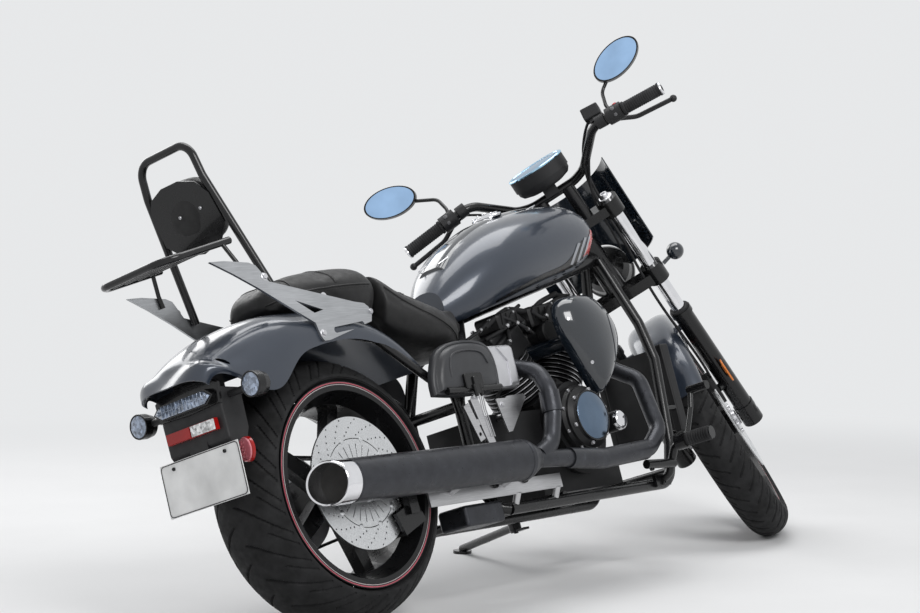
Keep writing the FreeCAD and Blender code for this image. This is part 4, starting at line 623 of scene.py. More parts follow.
def front_grooves(around, share):
    """Arrow grooves that run out at the shoulders, about a straight middle rib."""
    side, reach = (0.0 if share < 0 else 0.5), abs(share)
    depth = np.zeros_like(around)
    if 0.07 < reach < 0.98:
        width = 0.085 * min(1.0, (reach - 0.07) / 0.1) * (1 - 0.2 * reach)
        depth = np.maximum(depth, cut(around, side - 1.05 * reach, width))
    if 0.6 < reach < 0.99:
        depth = np.maximum(depth, cut(around, side + 0.5 - 0.9 * reach, 0.05))
    return depth * 4.5


def rim_rings(centre, radius, y):
    """Tape lines round the rim's flange, one at each side."""
    lines = []
    for inner, outer in ((radius - 4.6, radius - 2.0), (radius - 8.6, radius - 7.0)):
        ring = turned([(inner, y - 0.1), (inner, y + 0.35), (outer, y + 0.35), (outer, y - 0.1)], centre, (0, 1, 0),
                      96, False)
        lines.append(both_sides(ring))
    return lines


def disc_face(outer, inner, holes):
    """A flat ring with holes, as an outline filled and given a thickness."""
    curve = bpy.data.curves.new("disc_outline", "CURVE")
    curve.dimensions = "2D"
    curve.fill_mode = "BOTH"
    curve.extrude = 2.4
    curve.bevel_depth = 0.25
    for outline in (circle_at(0, 0, outer, 96), circle_at(0, 0, inner, 48), *holes):
        spline = curve.splines.new("POLY")
        spline.points.add(len(outline) - 1)
        spline.points.foreach_set("co", [value for x, y in outline for value in (x, y, 0, 1)])
        spline.use_cyclic_u = True
    holder = bpy.data.objects.new("disc_outline", curve)
    mesh = bpy.data.meshes.new_from_object(holder)
    shape = [v.co.copy() for v in mesh.vertices], [tuple(p.vertices) for p in mesh.polygons]
    bpy.data.objects.remove(holder)
    bpy.data.curves.remove(curve)
    bpy.data.meshes.remove(mesh)
    return shape


def circle_at(x, y, radius, steps=10):
    return [(x + across, y + up) for across, up in round_spots(radius, steps)]


def round_spots(radius, count, start=0.0):
    return [(radius * math.cos(turn), radius * math.sin(turn))
            for turn in (2 * math.pi * (step + start) / count for step in range(count))]


def brake_disc(centre, y, outer, split):
    """Drilled friction ring on a slotted carrier, joined by round buttons."""
    drilled = []
    for share, start in ((0.92, 0.0), (0.7, 0.25), (0.48, 0.5), (0.26, 0.75), (0.1, 1.0)):
        radius = split + 4 + (outer - split - 6) * share
        drilled += [circle_at(x, z, 2.4) for x, z in round_spots(radius, 18, start)]
    ring = disc_face(outer, split + 1.2, drilled)
    slots = []
    for x, z in round_spots(1.0, 26):
        start, end = split * 0.56, split * 0.88
        slots.append([(x * start - z * 1.2, z * start + x * 1.2), (x * start + z * 1.2, z * start - x * 1.2),
                      (x * end + z * 1.4, z * end - x * 1.4), (x * end - z * 1.4, z * end + x * 1.4)])
    bores = [circle_at(x, z, 3.2) for x, z in round_spots(30.0, 5, 0.5)]
    carrier = disc_face(split - 1.2, 19.0, slots + bores)
    stand = Matrix(((1, 0, 0), (0, 0, -1), (0, 1, 0)))
    flat = joined(ring, carrier)
    middle = Vector((centre.x, y, centre.z))
    face = [middle + stand @ p for p in flat[0]], flat[1]
    buttons = [turned([(6.5, -3.2), (6.5, 3.2), (4.5, 3.8), (0, 3.8)], middle + Vector((x, 0, z)), (0, -1, 0), 16)
               for x, z in round_spots(split, 10)]
    return joined(face, *buttons)


FLAT_CREASE = 30
WHEELS = ("rear", "rear_wheel", REAR_AXLE), ("front", "front_wheel", FRONT_AXLE)
# radius, crown radius, half width of the tread, bead radius, half width over the beads, pitches, steps in a
# pitch, strips across, grooves
TYRES = {
    "rear": (AXLE_HEIGHT, 127, 104, 228.6, 91, 22, 32, 60, rear_grooves),
    "front": (FRONT_AXLE_HEIGHT, 62, 59, 266.7, 43, 40, 16, 52, front_grooves),
}
# radius and distance from the middle plane
RIM_TAPE = {"rear": (241.6, 100), "front": (279.7, 52)}
# distance from the middle plane, outer radius, radius where ring and carrier meet
DISCS = {"rear": (-106.5, 155, 104), "front": (-68.5, 160, 112)}


class CRUISER_OT_wheels(bpy.types.Operator):
    """Make the tyres, brake discs, rim tape and wheel bolts"""
    bl_idname = "cruiser.wheels"
    bl_label = "Wheels"

    def execute(self, context):
        for end, body, centre in WHEELS:
            tread = put(end + "_tread", tyre_skin(centre, *TYRES[end]), "tyre_rubber", body, FLAT_CREASE)
            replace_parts(tread, end + "_tyre")
        for end, body, centre in WHEELS:
            pink, white = rim_rings(centre, *RIM_TAPE[end])
            put(end + "_rim_tape_pink", pink, "rim_pink", body)
            put(end + "_rim_tape_white", white, "rim_white", body)
        for end, body, centre in WHEELS:
            y = DISCS[end][0]
            face = put(end + "_disc_face", brake_disc(centre, *DISCS[end]), "disc_steel", body, FLAT_CREASE)
            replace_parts(face, end + "_disc")
            bolts = [bolt(centre + Vector((x, y - 2.6, z)), (0, -1, 0), 6) for x, z in round_spots(42.0, 5)]
            cap = turned([(24, 2.4), (24, 12), (21, 15), (12, 15), (0, 15)], centre + Vector((0, y, 0)), (0, -1, 0))
            put(end + "_disc_bolts", joined(*bolts, cap), "cast_alloy", body)
        teeth = [turned([(2.2, 0), (2.2, 22)], REAR_AXLE + Vector((x, 113, z)), (0, 1, 0), 6)
                 for x, z in round_spots(112, 60)]
        holes = [turned([(13, 0), (13, 1.4), (11, 2), (0, 0.4)], REAR_AXLE + Vector((x, 118, z)), (0, 1, 0), 24)
                 for x, z in round_spots(66.0, 5)]
        put("pulley_teeth", joined(*teeth), "cast_alloy", "rear_wheel")
        put("pulley_webs", joined(*holes), "engine_black", "rear_wheel")
        return {"FINISHED"}


# Seats and backrest: soft pads that swell over their foam


SMALLER, PRESSURE, CLOTH_FRAMES = 0.004, 4.0, 20


def swollen(name, node, voxel, cap):
    """A cushion of the foam's shape, blown up a little in its cover, by no more than a cap."""
    source = frame["nodes"][node].data
    mesh = source.copy()
    mesh.name = name
    mesh.materials.clear()
    pad = bpy.data.objects.new(name, mesh)
    scene = bpy.context.scene
    scene.collection.objects.link(pad)
    remesh = pad.modifiers.new("cover", "REMESH")
    remesh.mode = "VOXEL"
    remesh.voxel_size = voxel
    remesh.use_smooth_shade = True
    apply_modifiers(pad)
    count = len(pad.data.vertices)
    rest = np.empty(count * 3)
    pad.data.vertices.foreach_get("co", rest)
    normals = np.array([v.normal[:] for v in pad.data.vertices])
    rest = rest.reshape(-1, 3) - normals * SMALLER
    pad.data.vertices.foreach_set("co", rest.ravel())
    pad.data.update()
    cloth = pad.modifiers.new("cloth", "CLOTH")
    settings = cloth.settings
    settings.quality = 4
    settings.mass = 0.35
    settings.tension_stiffness = settings.compression_stiffness = 24
    settings.shear_stiffness = 12
    settings.bending_stiffness = 1.2
    settings.use_pressure = True
    settings.uniform_pressure_force = PRESSURE
    settings.effector_weights.gravity = 0
    cloth.point_cache.frame_start, cloth.point_cache.frame_end = 1, CLOTH_FRAMES
    for number in range(1, CLOTH_FRAMES + 1):
        scene.frame_set(number)
    apply_modifiers(pad)
    scene.frame_set(1)
    after = np.empty(count * 3)
    pad.data.vertices.foreach_get("co", after)
    step = after.reshape(-1, 3) - rest
    far = np.linalg.norm(step, axis=1, keepdims=True)
    step *= np.minimum(1.0, cap / np.maximum(far, 1e-9))
    pad.data.vertices.foreach_set("co", (rest + step).ravel())
    smooth = pad.modifiers.new("relaxed", "SMOOTH")
    smooth.factor, smooth.iterations = 0.5, 4
    finer = pad.modifiers.new("finer", "SUBSURF")
    finer.levels = finer.render_levels = 1
    apply_modifiers(pad)
    pad.data.materials.append(FINISH["black_leather"])
    pad.data.polygons.foreach_set("use_smooth", [True] * len(pad.data.polygons))
    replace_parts(pad, node)
    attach(pad, "chassis")
    return pad


def apply_modifiers(piece):
    """Keep the shape that the modifiers give, and drop them."""
    tree = bpy.context.evaluated_depsgraph_get()
    mesh = bpy.data.meshes.new_from_object(piece.evaluated_get(tree))
    old = piece.data
    piece.modifiers.clear()
    piece.data = mesh
    mesh.name = piece.name
    bpy.data.meshes.remove(old)


def seam_line(name, points, way, lift=0.4):
    """Where a sewn line lies on a pad: each point meets it along a way."""
    line = []
    for point in softly(points, 10):
        hit, normal = touched(name, point, way)
        if hit is not None:
            line.append(hit + normal * lift)
    return line


def stitches(line, length=5.0, gap=2.6, radius=0.7):
    """Threads laid end to end along a line."""
    shapes, run, start = [], 0.0, Vector(line[0])
    for before, after in zip(line, line[1:]):
        step = (after - before).length
        run += step
        if run >= length + gap:
            way = (after - start).normalized()
            shapes.append(swept([start, start + way * length * 0.5, start + way * length], radius, 5))
            start, run = Vector(after), 0.0
    return joined(*shapes)


RIDER_SEAM = [(236, 772), (283, 735), (345, 696), (410, 658), (480, 622), (540, 594)]
PILLION_SEAM = [(-180, 715), (-120, 750), (-40, 768), (40, 776), (120, 780), (190, 782)]


class CRUISER_OT_seats(bpy.types.Operator):
    """Make the seats and the backrest pad with their seams and piping"""
    bl_idname = "cruiser.seats"
    bl_label = "Seats and backrest"

    def execute(self, context):
        swollen("rider_cushion", "rider_seat", 0.0065, 0.010)
        swollen("pillion_cushion", "pillion_seat", 0.0065, 0.010)
        swollen("back_cushion", "backrest_pad", 0.005, 0.009)
        piping, threads = [], []
        for pad, seam in (("rider_cushion", RIDER_SEAM), ("pillion_cushion", PILLION_SEAM)):
            for side in (RIGHT, LEFT):
                line = seam_line(pad, [(x, side * 330, z) for x, z in seam], (0, -side, 0))
                if len(line) > 3:
                    piping.append(swept(line, 2.3, 8))
                lower = seam_line(pad, [(x, side * 330, z - 7) for x, z in seam], (0, -side, 0), 0.2)
                if len(lower) > 3:
                    threads.append(stitches(lower))
        for pad, x, half in (("rider_cushion", 318, 96), ("rider_cushion", 430, 84), ("pillion_cushion", 70, 112),
                             ("pillion_cushion", -60, 100)):
            line = seam_line(pad, [(x - 14 + abs(y) * 0.12, y, 1000) for y in range(-half, half + 1, 24)], (0, 0, -1))
            if len(line) > 3:
                piping.append(swept(line, 1.5, 6))
                threads.append(stitches([point + Vector((5, 0, 0.2)) for point in line]))
        put("seat_piping", joined(*piping), "black_leather")
        put("seat_thread", joined(*threads), "seam_thread")
        return {"FINISHED"}


# Painted bands and covers that lie on the bodywork


def laid_between(name, upper, lower, lift=0.5, across=5):
    """A thin skin on a part between two lines that the photograph shows."""
    rows = []
    for (ux, uy), (lx, ly) in zip(flat_line(upper, 5), flat_line(lower, 5)):
        row = []
        for step in range(across + 1):
            share = step / across
            hit, normal = seen_at(name, ux + (lx - ux) * share, uy + (ly - uy) * share)
            row.append(hit + normal * lift)
        rows.append(row)
    return rings_of(rows, False, False)


def flat_line(points, parts):
    return [(p.x, p.y) for p in softly([(x, y, 0) for x, y in points], parts)]


TANK_EDGE_TOP = [(480, 310.5), (500, 301.5), (522, 290.4), (545, 279.4), (570, 269.2), (590, 259.5)]
TANK_EDGE_LOW = [(480, 311.5), (500, 304.6), (528, 292.4), (552, 283.6), (578, 274.6), (598, 262)]
TANK_FIELD_TOP = [(496, 301), (515, 289.5), (540, 275.5), (562, 265.5), (571, 257), (582, 240)]
TANK_FIELD_LOW = [(496, 302.6), (518, 291.4), (545, 278.4), (570, 268.2), (580, 263.3), (588, 258)]
STRIPE_TOP = [(594.5, 227.5), (592, 238), (589.5, 249), (587, 258.5)]
STRIPE_LOW = [(600.5, 228), (598.5, 238), (595.5, 248), (592, 256)]
SKIN_CREASE = 60
SLASHES = [((570.0, 264.5), (577.5, 243.0), 2.6), ((576.5, 262.0), (584.0, 237.5), 2.2),
           ((582.5, 259.0), (589.0, 234.0), 1.6)]


class CRUISER_OT_tank(bpy.types.Operator):
    """Make the tank's lower band, stripes, filler cap and console trim"""
    bl_idname = "cruiser.tank"
    bl_label = "Tank trim"

    def execute(self, context):
        for name, upper, lower, lift, finish in (
                ("tank_band", TANK_EDGE_TOP, TANK_EDGE_LOW, 0.7, "band_grey"),
                ("tank_dark_field", TANK_FIELD_TOP, TANK_FIELD_LOW, 0.8, "gloss_black"),
                ("tank_stripe_red", STRIPE_TOP, STRIPE_LOW, 1.3, "stripe_red")):
            put(name, both_sides(laid_between("fuel_tank", upper, lower, lift)), finish, crease=SKIN_CREASE)
        slashes = []
        for (x0, y0), (x1, y1), wide in SLASHES:
            line = [(x0 + (x1 - x0) * t, y0 + (y1 - y0) * t) for t in (0, 0.33, 0.67, 1)]
            slashes.append(laid_between("fuel_tank", line, [(x + wide, y) for x, y in line], 1.3, 2))
        put("tank_slashes", both_sides(joined(*slashes)), "band_grey", crease=SKIN_CREASE)
        cap_place, cap_way = touched("tank_console", (842, 0, 1200), (0, 0, -1))
        profile = [(41, -3), (42, 1), (40, 4), (34, 5), (33, 7.5), (30, 9), (12, 10), (0, 10)]
        cap = turned(profile, cap_place, cap_way, 48)
        key = joined(placed(plate(rounded(24, 13, 6), 3, 0.8), cap_place + cap_way * 9.6, (0, 1, 0), (0, 0, 1)),
                     *[bolt(cap_place + cap_way * 4 + Vector((x, y, 0)), cap_way, 3) for x, y in round_spots(37, 6)])
        put("filler_cap", joined(cap, key), "chrome")
        edge = []
        for side in (RIGHT, LEFT):
            line = []
            for x in range(560, 1071, 30):
                half = 62 * math.sin(math.pi * min(1, max(0.05, (x - 520) / 590)) ** 0.8) ** 0.6
                hit, normal = touched("tank_console", (x, side * max(6, half - 6), 1300), (0, 0, -1))
                if hit is not None:
                    line.append(hit + normal * 0.3)
            if len(line) > 3:
                edge.append(swept(softly(line, 3), 1.6, 8))
        if edge:
            put("console_trim", joined(*edge), "chrome")
        return {"FINISHED"}


# Tail: lamp, signals, reflectors and plate

TAIL_X, LAMP_Z = -362, 549
SIGNAL = Vector((-334, 187, 546))
REFLECTOR = Vector((-336, 116, 418))
STRIP_Z = 488
PLATE_X, PLATE_Z = -372.6, 380
BACK = Vector((-1, 0, 0))
FACING_BACK = (0, 1, 0), BACK


def tail_lamp_face():
    """Rim, ribbed lens and the row of lights behind it."""
    outline = [(-98, 0), (-76, 17), (76, 17), (98, 0), (76, -17), (-76, -17)]
    at = Vector((TAIL_X - 24, 0, LAMP_Z))
    shape = plate([(z, y) for y, z in outline], 3.5, 1.2)
    lens_shape = placed(([Vector((p[0] * 0.82, p[1] * 0.93, p[2])) for p in shape[0]], shape[1]), at,
                        *FACING_BACK)
    ribs = []
    for y in range(-78, 79, 12):
        half = 13.5 - max(0, abs(y) - 68) * 0.8
        ribs.append(swept([at + Vector((-3.6, y, -half)), at + Vector((-4.0, y, 0)), at + Vector((-3.6, y, half))],
                          1.3, 6))
    middle = swept([at + Vector((-4.2, y, 0)) for y in range(-86, 87, 8)], 1.5, 6)
    return lens_shape, joined(*ribs), middle


class CRUISER_OT_tail(bpy.types.Operator):
    """Make the tail lamp's lens, the signals' lenses, the reflectors and the plate's rim"""
    bl_idname = "cruiser.tail"
    bl_label = "Tail"

    def execute(self, context):
        face, ribs, middle = tail_lamp_face()
        shroud = plate([(26, -104), (38, -84), (44, 0), (38, 84), (26, 104), (-20, 100), (-24, 0), (-20, -100)], 12, 3)
        put("tail_shroud", placed(shroud, (TAIL_X + 2, 0, LAMP_Z), *FACING_BACK), "gloss_black")
        put("tail_lamp_lens", face, "lamp_ribs", crease=60)
        put("tail_lamp_ribs", joined(ribs, middle), "lamp_ribs")
        lenses, rims = [], []
        for side in (RIGHT, LEFT):
            at = Vector((SIGNAL.x - 20, side * SIGNAL.y, SIGNAL.z))
            lenses.append(turned([(25.5, -0.4), (25, 1.6), (19, 3.4), (9, 4.4), (0, 4.6)], at, BACK, 40))
            for radius in (8, 15, 21):
                lenses.append(turned([(radius - 0.9, 4.4 - radius * 0.08), (radius, 5.0 - radius * 0.1),
                                      (radius + 0.9, 4.2 - radius * 0.09)], at, BACK, 32, False))
            for x, y in round_spots(14, 8):
                lenses.append(turned([(1.6, 3.0), (1.4, 4.6), (0, 5.2)], at + Vector((0, x, y)), BACK, 8))
            rims.append(turned([(28.9, -3), (29.4, 0), (28.6, 2.2), (26, 2.2), (25.4, -0.5)], at, BACK, 40, False))
        put("rear_signal_lenses", joined(*lenses), "lamp_ribs")
        put("rear_signal_rims", joined(*rims), "gloss_black")
        strip = []
        for y0, y1 in ((1, 79), (-79, -1)):
            strip.append(placed(plate(rounded(24, y1 - y0 - 1, 2), 2.4, 0.7), (TAIL_X - 17.1, (y0 + y1) / 2, STRIP_Z),
                                *FACING_BACK))
        put("strip_lamp_red", strip[0], "red_lens")
        put("strip_lamp_white", strip[1], "lamp_white")
        rounds = []
        for side in (RIGHT, LEFT):
            at = Vector((REFLECTOR.x, side * REFLECTOR.y, REFLECTOR.z))
            way = Vector((-1, -side * 0.25, 0)).normalized()
            rounds.append(turned([(26.5, 5.5), (26.8, 7.4), (25, 8.6), (24, 7.6), (23.6, 7.1)], at, way, 40, False))
            for x, y in [(0, 0)] + round_spots(8, 6) + round_spots(16, 12):
                rounds.append(turned([(3.6, 7.0), (2.4, 7.9), (0, 8.2)], at + Vector((0, x, y)), way, 6))
            rounds.append(turned([(23.6, 6.6), (23.4, 7.3), (0, 7.4)], at, way, 40))
        put("round_reflector_cells", joined(*rounds), "reflector_pink")
        outer = rounded(252, 115, 10)
        rim = swept([(PLATE_X - 0.6, y, PLATE_Z + z) for y, z in outer + outer[:1]], 1.1, 6)
        put("plate_rim", rim, "gloss_black")
        screws = [bolt((PLATE_X, side * 84, PLATE_Z + 45), BACK, 4.2) for side in (RIGHT, LEFT)]
        put("plate_screws", joined(*screws), "gloss_black")
        return {"FINISHED"}


# Exhaust


def silencer_body():
    """Muffler with a slash-cut end, its rolled lip and the dark pipe inside."""
    joint, tip = Vector((521, -204, 300)), Vector((-189, -204, 308))
    way, long = (tip - joint).normalized(), (tip - joint).length
    side = Vector((0, -1, 0))
    up = way.cross(side)

    def ring(radius, along, slash=0.0):
        row = []
        for out, rise in round_spots(1, 64):
            row.append(joint + way * (along - slash * (out + 0.1 * rise) * radius) + side * out * radius
                       + up * rise * radius)
        return row

    shell = [(32, 0), (38, 14), (47, 34), (50, 46), (51.4, 47), (51.4, 58), (50, 59), (50, 62), (50, long - 150),
             (50, long - 46), (49.0, long - 45), (49.0, long - 41), (50, long - 40), (50, long - 38)]
    body = rings_of([ring(radius, along) for radius, along in shell], True, False)
    cut_slope = 0.36
    tip_rows = [ring(50, long - 38), ring(50.3, long - 34), ring(50.4, long + 14, cut_slope),
                ring(50.2, long + 19, cut_slope), ring(48.4, long + 22, cut_slope), ring(45.2, long + 20, cut_slope),
                ring(44.4, long - 4, cut_slope * 0.8), ring(43.6, long - 14, cut_slope * 0.7)]
    bore_rows = [ring(43.6, long - 14, cut_slope * 0.7), ring(42.6, long - 50), ring(42, long - 128),
                 ring(30, long - 131), ring(29, long - 138), ring(27, long - 230)]
    return body, rings_of(tip_rows, True, False), rings_of(bore_rows, True, True)


class CRUISER_OT_exhaust(bpy.types.Operator):
    """Make the muffler with its cut end and bore, and the bracket bolts"""
    bl_idname = "cruiser.exhaust"
    bl_label = "Exhaust"

    def execute(self, context):
        body, tip, bore = silencer_body()
        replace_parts(put("muffler_shell", body, "exhaust_steel"), "silencer")
        put("muffler_tip", tip, "chrome")
        put("muffler_bore", bore, "soot")
        bolts = []
        for name, across, down, radius in (
                ("silencer_bracket", 494.4, 485, 9), ("silencer_bracket", 524, 479.6, 9),
                ("frame", 597.6, 474, 6), ("foot_controls", 653, 483.6, 6), ("foot_controls", 663.6, 482, 6)):
            bolts.append(bolt(seen_at(name, across, down)[0], (0, -1, 0), radius, 3))
        put("bracket_bolts", joined(*bolts), "gloss_black")
        return {"FINISHED"}


# Engine


CRANK = Vector((860, 0, 375))
BARREL_WAYS = [Vector((math.sin(turn), 0, math.cos(turn))) for turn in (math.radians(-30), math.radians(30))]
CLUTCH_X, CLUTCH_Z = 816, 391


def fin_edges():
    """Bright machined edges on the cooling fins of both barrels."""
    profile = [(79.6, -0.9), (80.5, -0.9), (80.5, 0.9), (79.6, 0.9)]
    return joined(*[turned(profile, CRANK + way * (146 + 13 * index), way, 64, False)
                    for way in BARREL_WAYS for index in range(8)])


def rim_bolts(cover, middle_x, middle_z, side, spots, size):
    """Bolts round a side cover's middle, where a straight line from outside meets its rim."""
    bolts = []
    for x, z in spots:
        place = touched(cover, (middle_x + x, side * 420, middle_z + z), (0, -side, 0))[0]
        if place is not None and side * place.y > 100:
            bolts.append(bolt(place, (0, side, 0), size, 1))
    return bolts


class CRUISER_OT_engine(bpy.types.Operator):
    """Make the clutch and generator covers' faces and bolts, the fins' edges, the side cap, the air cleaner's crease
    and screws, and the rocker bolts
    """
    bl_idname = "cruiser.engine"
    bl_label = "Engine"

    def execute(self, context):
        middle = touched("clutch_cover", (CLUTCH_X, -420, CLUTCH_Z), (0, 1, 0))[0]
        face = turned([(61, -1), (62, 1.2), (60, 2.6), (30, 3.4), (0, 3.6)], middle, (0, -1, 0), 64)
        ring = turned([(63, -0.5), (63.6, 1.6), (66, 1.6), (66.5, -0.5)], middle, (0, -1, 0), 64, False)
        put("clutch_face", face, "smoked_steel")
        put("clutch_ring", ring, "gloss_black")
        bolts = []
        for radius, count, size, start in ((71, 6, 5.5, 0.25), (85.5, 9, 4.5, 0.0)):
            bolts += rim_bolts("clutch_cover", CLUTCH_X, CLUTCH_Z, RIGHT, round_spots(radius, count, start), size)
        left_middle = touched("generator_cover", (CRANK.x, 420, CRANK.z), (0, -1, 0))[0]
        if left_middle is not None:
            bolts += rim_bolts("generator_cover", left_middle.x, left_middle.z, LEFT, round_spots(66, 7, 0.2), 5)
            face = turned([(52, -1), (53, 1.4), (50, 3), (0, 4)], left_middle, (0, 1, 0), 64)
            put("generator_face", face, "smoked_steel")
        put("cover_bolts", joined(*bolts), "cast_alloy")
        put("fin_edges", fin_edges(), "cast_alloy")
        boss = touched("crankcase", (986, -420, 377), (0, 1, 0))[0]
        cap = turned([(26.5, -8), (26.5, 3), (25, 5), (25, 9), (23, 12), (17, 14), (0, 15)], boss, (0, -1, 0), 48)
        put("side_cap", cap, "chrome")
        crease = []
        for across, down in flat_line([(591, 296), (600, 303), (606, 312), (611, 328), (614.5, 345), (616, 362)], 5):
            place, way = seen_at("airbox_cover", across, down)
            crease.append(place + way * 0.2)
        put("air_cleaner_crease", swept(crease, 1.5, 6), "deep_gloss")
        screws = [bolt(*seen_at("airbox_cover", *spot), 5) for spot in ((568, 319), (592, 362))]
        put("air_cleaner_screws", joined(*screws), "cast_alloy")
        heads = []
        for way in BARREL_WAYS:
            ahead = Vector((way.z, 0, -way.x))
            heads += [hexagon(CRANK + way * 332 + ahead * x + Vector((0, y, 0)), way, 6)
                      for x in (-40, 40) for y in (-50, 50)]
        put("rocker_bolts", joined(*heads), "cast_alloy")
        return {"FINISHED"}


# Side covers, engine bay, plates and pegs


COVER_OUTLINE = [(264, 486), (266, 520), (282, 560), (306, 592), (344, 610), (396, 617), (450, 616), (492, 606),
                 (514, 582), (521, 546), (517, 504), (506, 486), (440, 480), (340, 480)]


def side_cover():
    """Bell-shaped cover with a raised face, a pressed groove, and the folded peg's hinge and latch."""
    middle = Vector((396, 545, 0))
    line = softly([(x, z, 0) for x, z in COVER_OUTLINE + COVER_OUTLINE[:1]], 4)[:-1]
    rows = []
    for share, y in ((1.0, 148), (1.0, 158), (0.985, 163), (0.95, 166), (0.9, 166.5), (0.885, 165), (0.87, 166.5),
                     (0.84, 172), (0.8, 176), (0.72, 178.5), (0.3, 180), (0.04, 180)):
        spots = [middle + (p - middle) * share for p in line]
        rows.append([Vector((spot.x, -y, spot.y)) for spot in spots])
    shell = rings_of(rows)
    groove = swept(softly([(322, -178.6, 524), (326, -179.4, 556), (344, -180, 580), (396, -181, 588), (450, -180, 580),
                           (470, -179.4, 552)], 6), 2.6, 8)
    hinge = swept([(296, -176, 492), (396, -176, 491), (498, -176, 490)], 9, 14)
    block = placed(plate(rounded(38, 66, 5), 12, 2), (392, -176, 510), (1, 0, 0), (0, -1, 0))
    tongue = placed(plate(rounded(44, 20, 4), 6, 1.5), (394, -187, 498), (1, 0, 0), (0, -1, 0))
    pegs = [swept([(x, -190, 500), (x, -190, 486), (x + 2, -189, 470)], 5, 10) for x in (384, 404)]
    return joined(shell, groove), joined(hinge, block, tongue, *pegs)


BAY_PIPES = [
    (7, [(640, -64, 668), (700, -74, 700), (760, -66, 712), (830, -70, 704), (900, -62, 730), (980, -58, 752)]),
    (5, [(650, -50, 640), (704, -84, 664), (742, -80, 700), (800, -64, 722)]),
    (5, [(820, -84, 700), (850, -96, 676), (884, -90, 700), (930, -74, 724), (1010, -60, 742)]),
    (8, [(760, -58, 716), (800, -60, 680), (846, -44, 660), (880, -52, 640)]),
    (4, [(700, -80, 690), (730, -98, 668), (770, -96, 650), (800, -88, 640)]),
    (4, [(930, -80, 716), (946, -94, 690), (940, -90, 660), (956, -80, 640)]),
    (6, [(980, -54, 748), (1030, -62, 740), (1070, -54, 716), (1092, -46, 690)]),
    (5, [(1000, -50, 752), (1050, -40, 728), (1064, -44, 680), (1050, -50, 640), (1058, -52, 600)]),
    (4, [(560, -60, 640), (610, -70, 660), (660, -66, 684), (716, -78, 702)]),
    (5, [(600, -86, 560), (640, -96, 590), (690, -90, 620), (720, -70, 656)]),
    (4, [(560, -100, 470), (590, -112, 500), (640, -108, 520), (690, -96, 548)]),
]


def bay_bodies():
    """Coils, throttle body and relay boxes between the tank and the engine."""
    shapes = []
    for x, z, long, tall, tilt in ((720, 684, 90, 46, 0.2), (866, 690, 110, 56, 0.1), (980, 712, 80, 44, 0.3)):
        body = plate(rounded(tall, long, 10), 84, 6)
        shapes.append(placed(body, (x, -84, z), (math.cos(tilt), 0, math.sin(tilt)), (0, 1, 0)))
        for step in range(4):
            at = x - long / 2 + 14 + step * (long - 28) / 3
            shapes.append(swept([(at, -85, z - tall / 2 + 8), (at + tilt * 12, -85, z + tall / 2 - 8)], 2.2, 6))
    throttle = turned([(26, 0), (30, 4), (30, 22), (26, 26), (26, 60), (32, 66), (32, 90), (28, 96)], (866, -96, 642),
                      (0, 1, 0), 32)
    return joined(*shapes, throttle)


class CRUISER_OT_bay(bpy.types.Operator):
    """Make the pipes, leads and boxes between the tank and the engine, and the side covers"""
    bl_idname = "cruiser.bay"
    bl_label = "Engine bay and side covers"

    def execute(self, context):
        pipes = [swept(softly(points, 8), radius, 10) for radius, points in BAY_PIPES]
        clips = []
        for radius, points in BAY_PIPES:
            line = softly(points, 8)
            for at in (len(line) // 3, 2 * len(line) // 3):
                way = (line[at + 1] - line[at]).normalized()
                clips.append(turned([(radius + 0.4, -4), (radius + 1.4, -4), (radius + 1.4, 4), (radius + 0.4, 4)],
                                    line[at], way, 14, False))
        put("bay_pipes", joined(*pipes), "grip_rubber")
        put("bay_clips", joined(*clips), "satin_steel")
        put("bay_boxes", bay_bodies(), "engine_black")
        shell, fittings = side_cover()
        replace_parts(put("cover_shells", both_sides(shell), "cover_plastic"), "side_covers")
        put("cover_fittings", both_sides(fittings), "gloss_black")
        return {"FINISHED"}


class CRUISER_OT_trim(bpy.types.Operator):
    """Make the bolts of the side plates, struts and backrest hoop, the struts' ribs and the pegs' rubbers"""
    bl_idname = "cruiser.trim"
    bl_label = "Side trim"

    def execute(self, context):
        bolts = []
        for name, across, down, radius in (
                ("side_plates", 256.7, 264.2, 7), ("side_plates", 264.2, 276.5, 7), ("side_plates", 323.5, 333, 7),
                ("side_plates", 371, 311, 6), ("rear_struts", 473, 393, 5.5), ("rear_struts", 482.4, 390.6, 5.5),
                ("rear_struts", 502, 404.4, 6)):
            place, way = seen_at(name, across, down)
            bolts += [hexagon(place, way, radius), mirrored(hexagon(place, way, radius))]
        for across, down in ((180.8, 217.6), (200.8, 207.5)):
            place, way = seen_at("backrest_hoop", across, down)
            bolts.append(bolt(place, way, 4))
        put("plate_bolts", joined(*bolts), "cast_alloy")
        ribs = []
        for offset in (-7, 0, 7):
            ribs.append(swept([(x + offset, -164.2, z) for x, z in ((432.6, 488), (430, 440), (440, 372))], 1.7, 6))
        put("strut_ribs", joined(*ribs), "satin_steel")
        root, way = Vector((1112, -228, 288)), Vector((11.92, -105.3, 0)).normalized()
        rubber = []
        for index in range(9):
            rib = (17.4, 34), (19.6, 36), (19.6, 39), (17.4, 41)
            rubber += [(radius, along + index * 7.5) for radius, along in rib]
        sleeve = turned([(17.2, 31)] + rubber + [(17.2, 103)], root, way, 28, False)
        put("peg_rubbers", both_sides(sleeve), "grip_rubber")
        return {"FINISHED"}


# Steering: bars, gauge, mirrors and fork trim


BAR_END_Y, GRIP_Y, SWITCH_Y = 408, 292, 268


def bar_way(side):
    """The end of the bar and the way out along it."""
    end = Vector((955, side * BAR_END_Y, 1072))
    return end, (end - Vector((988, side * 200, 1100))).normalized()


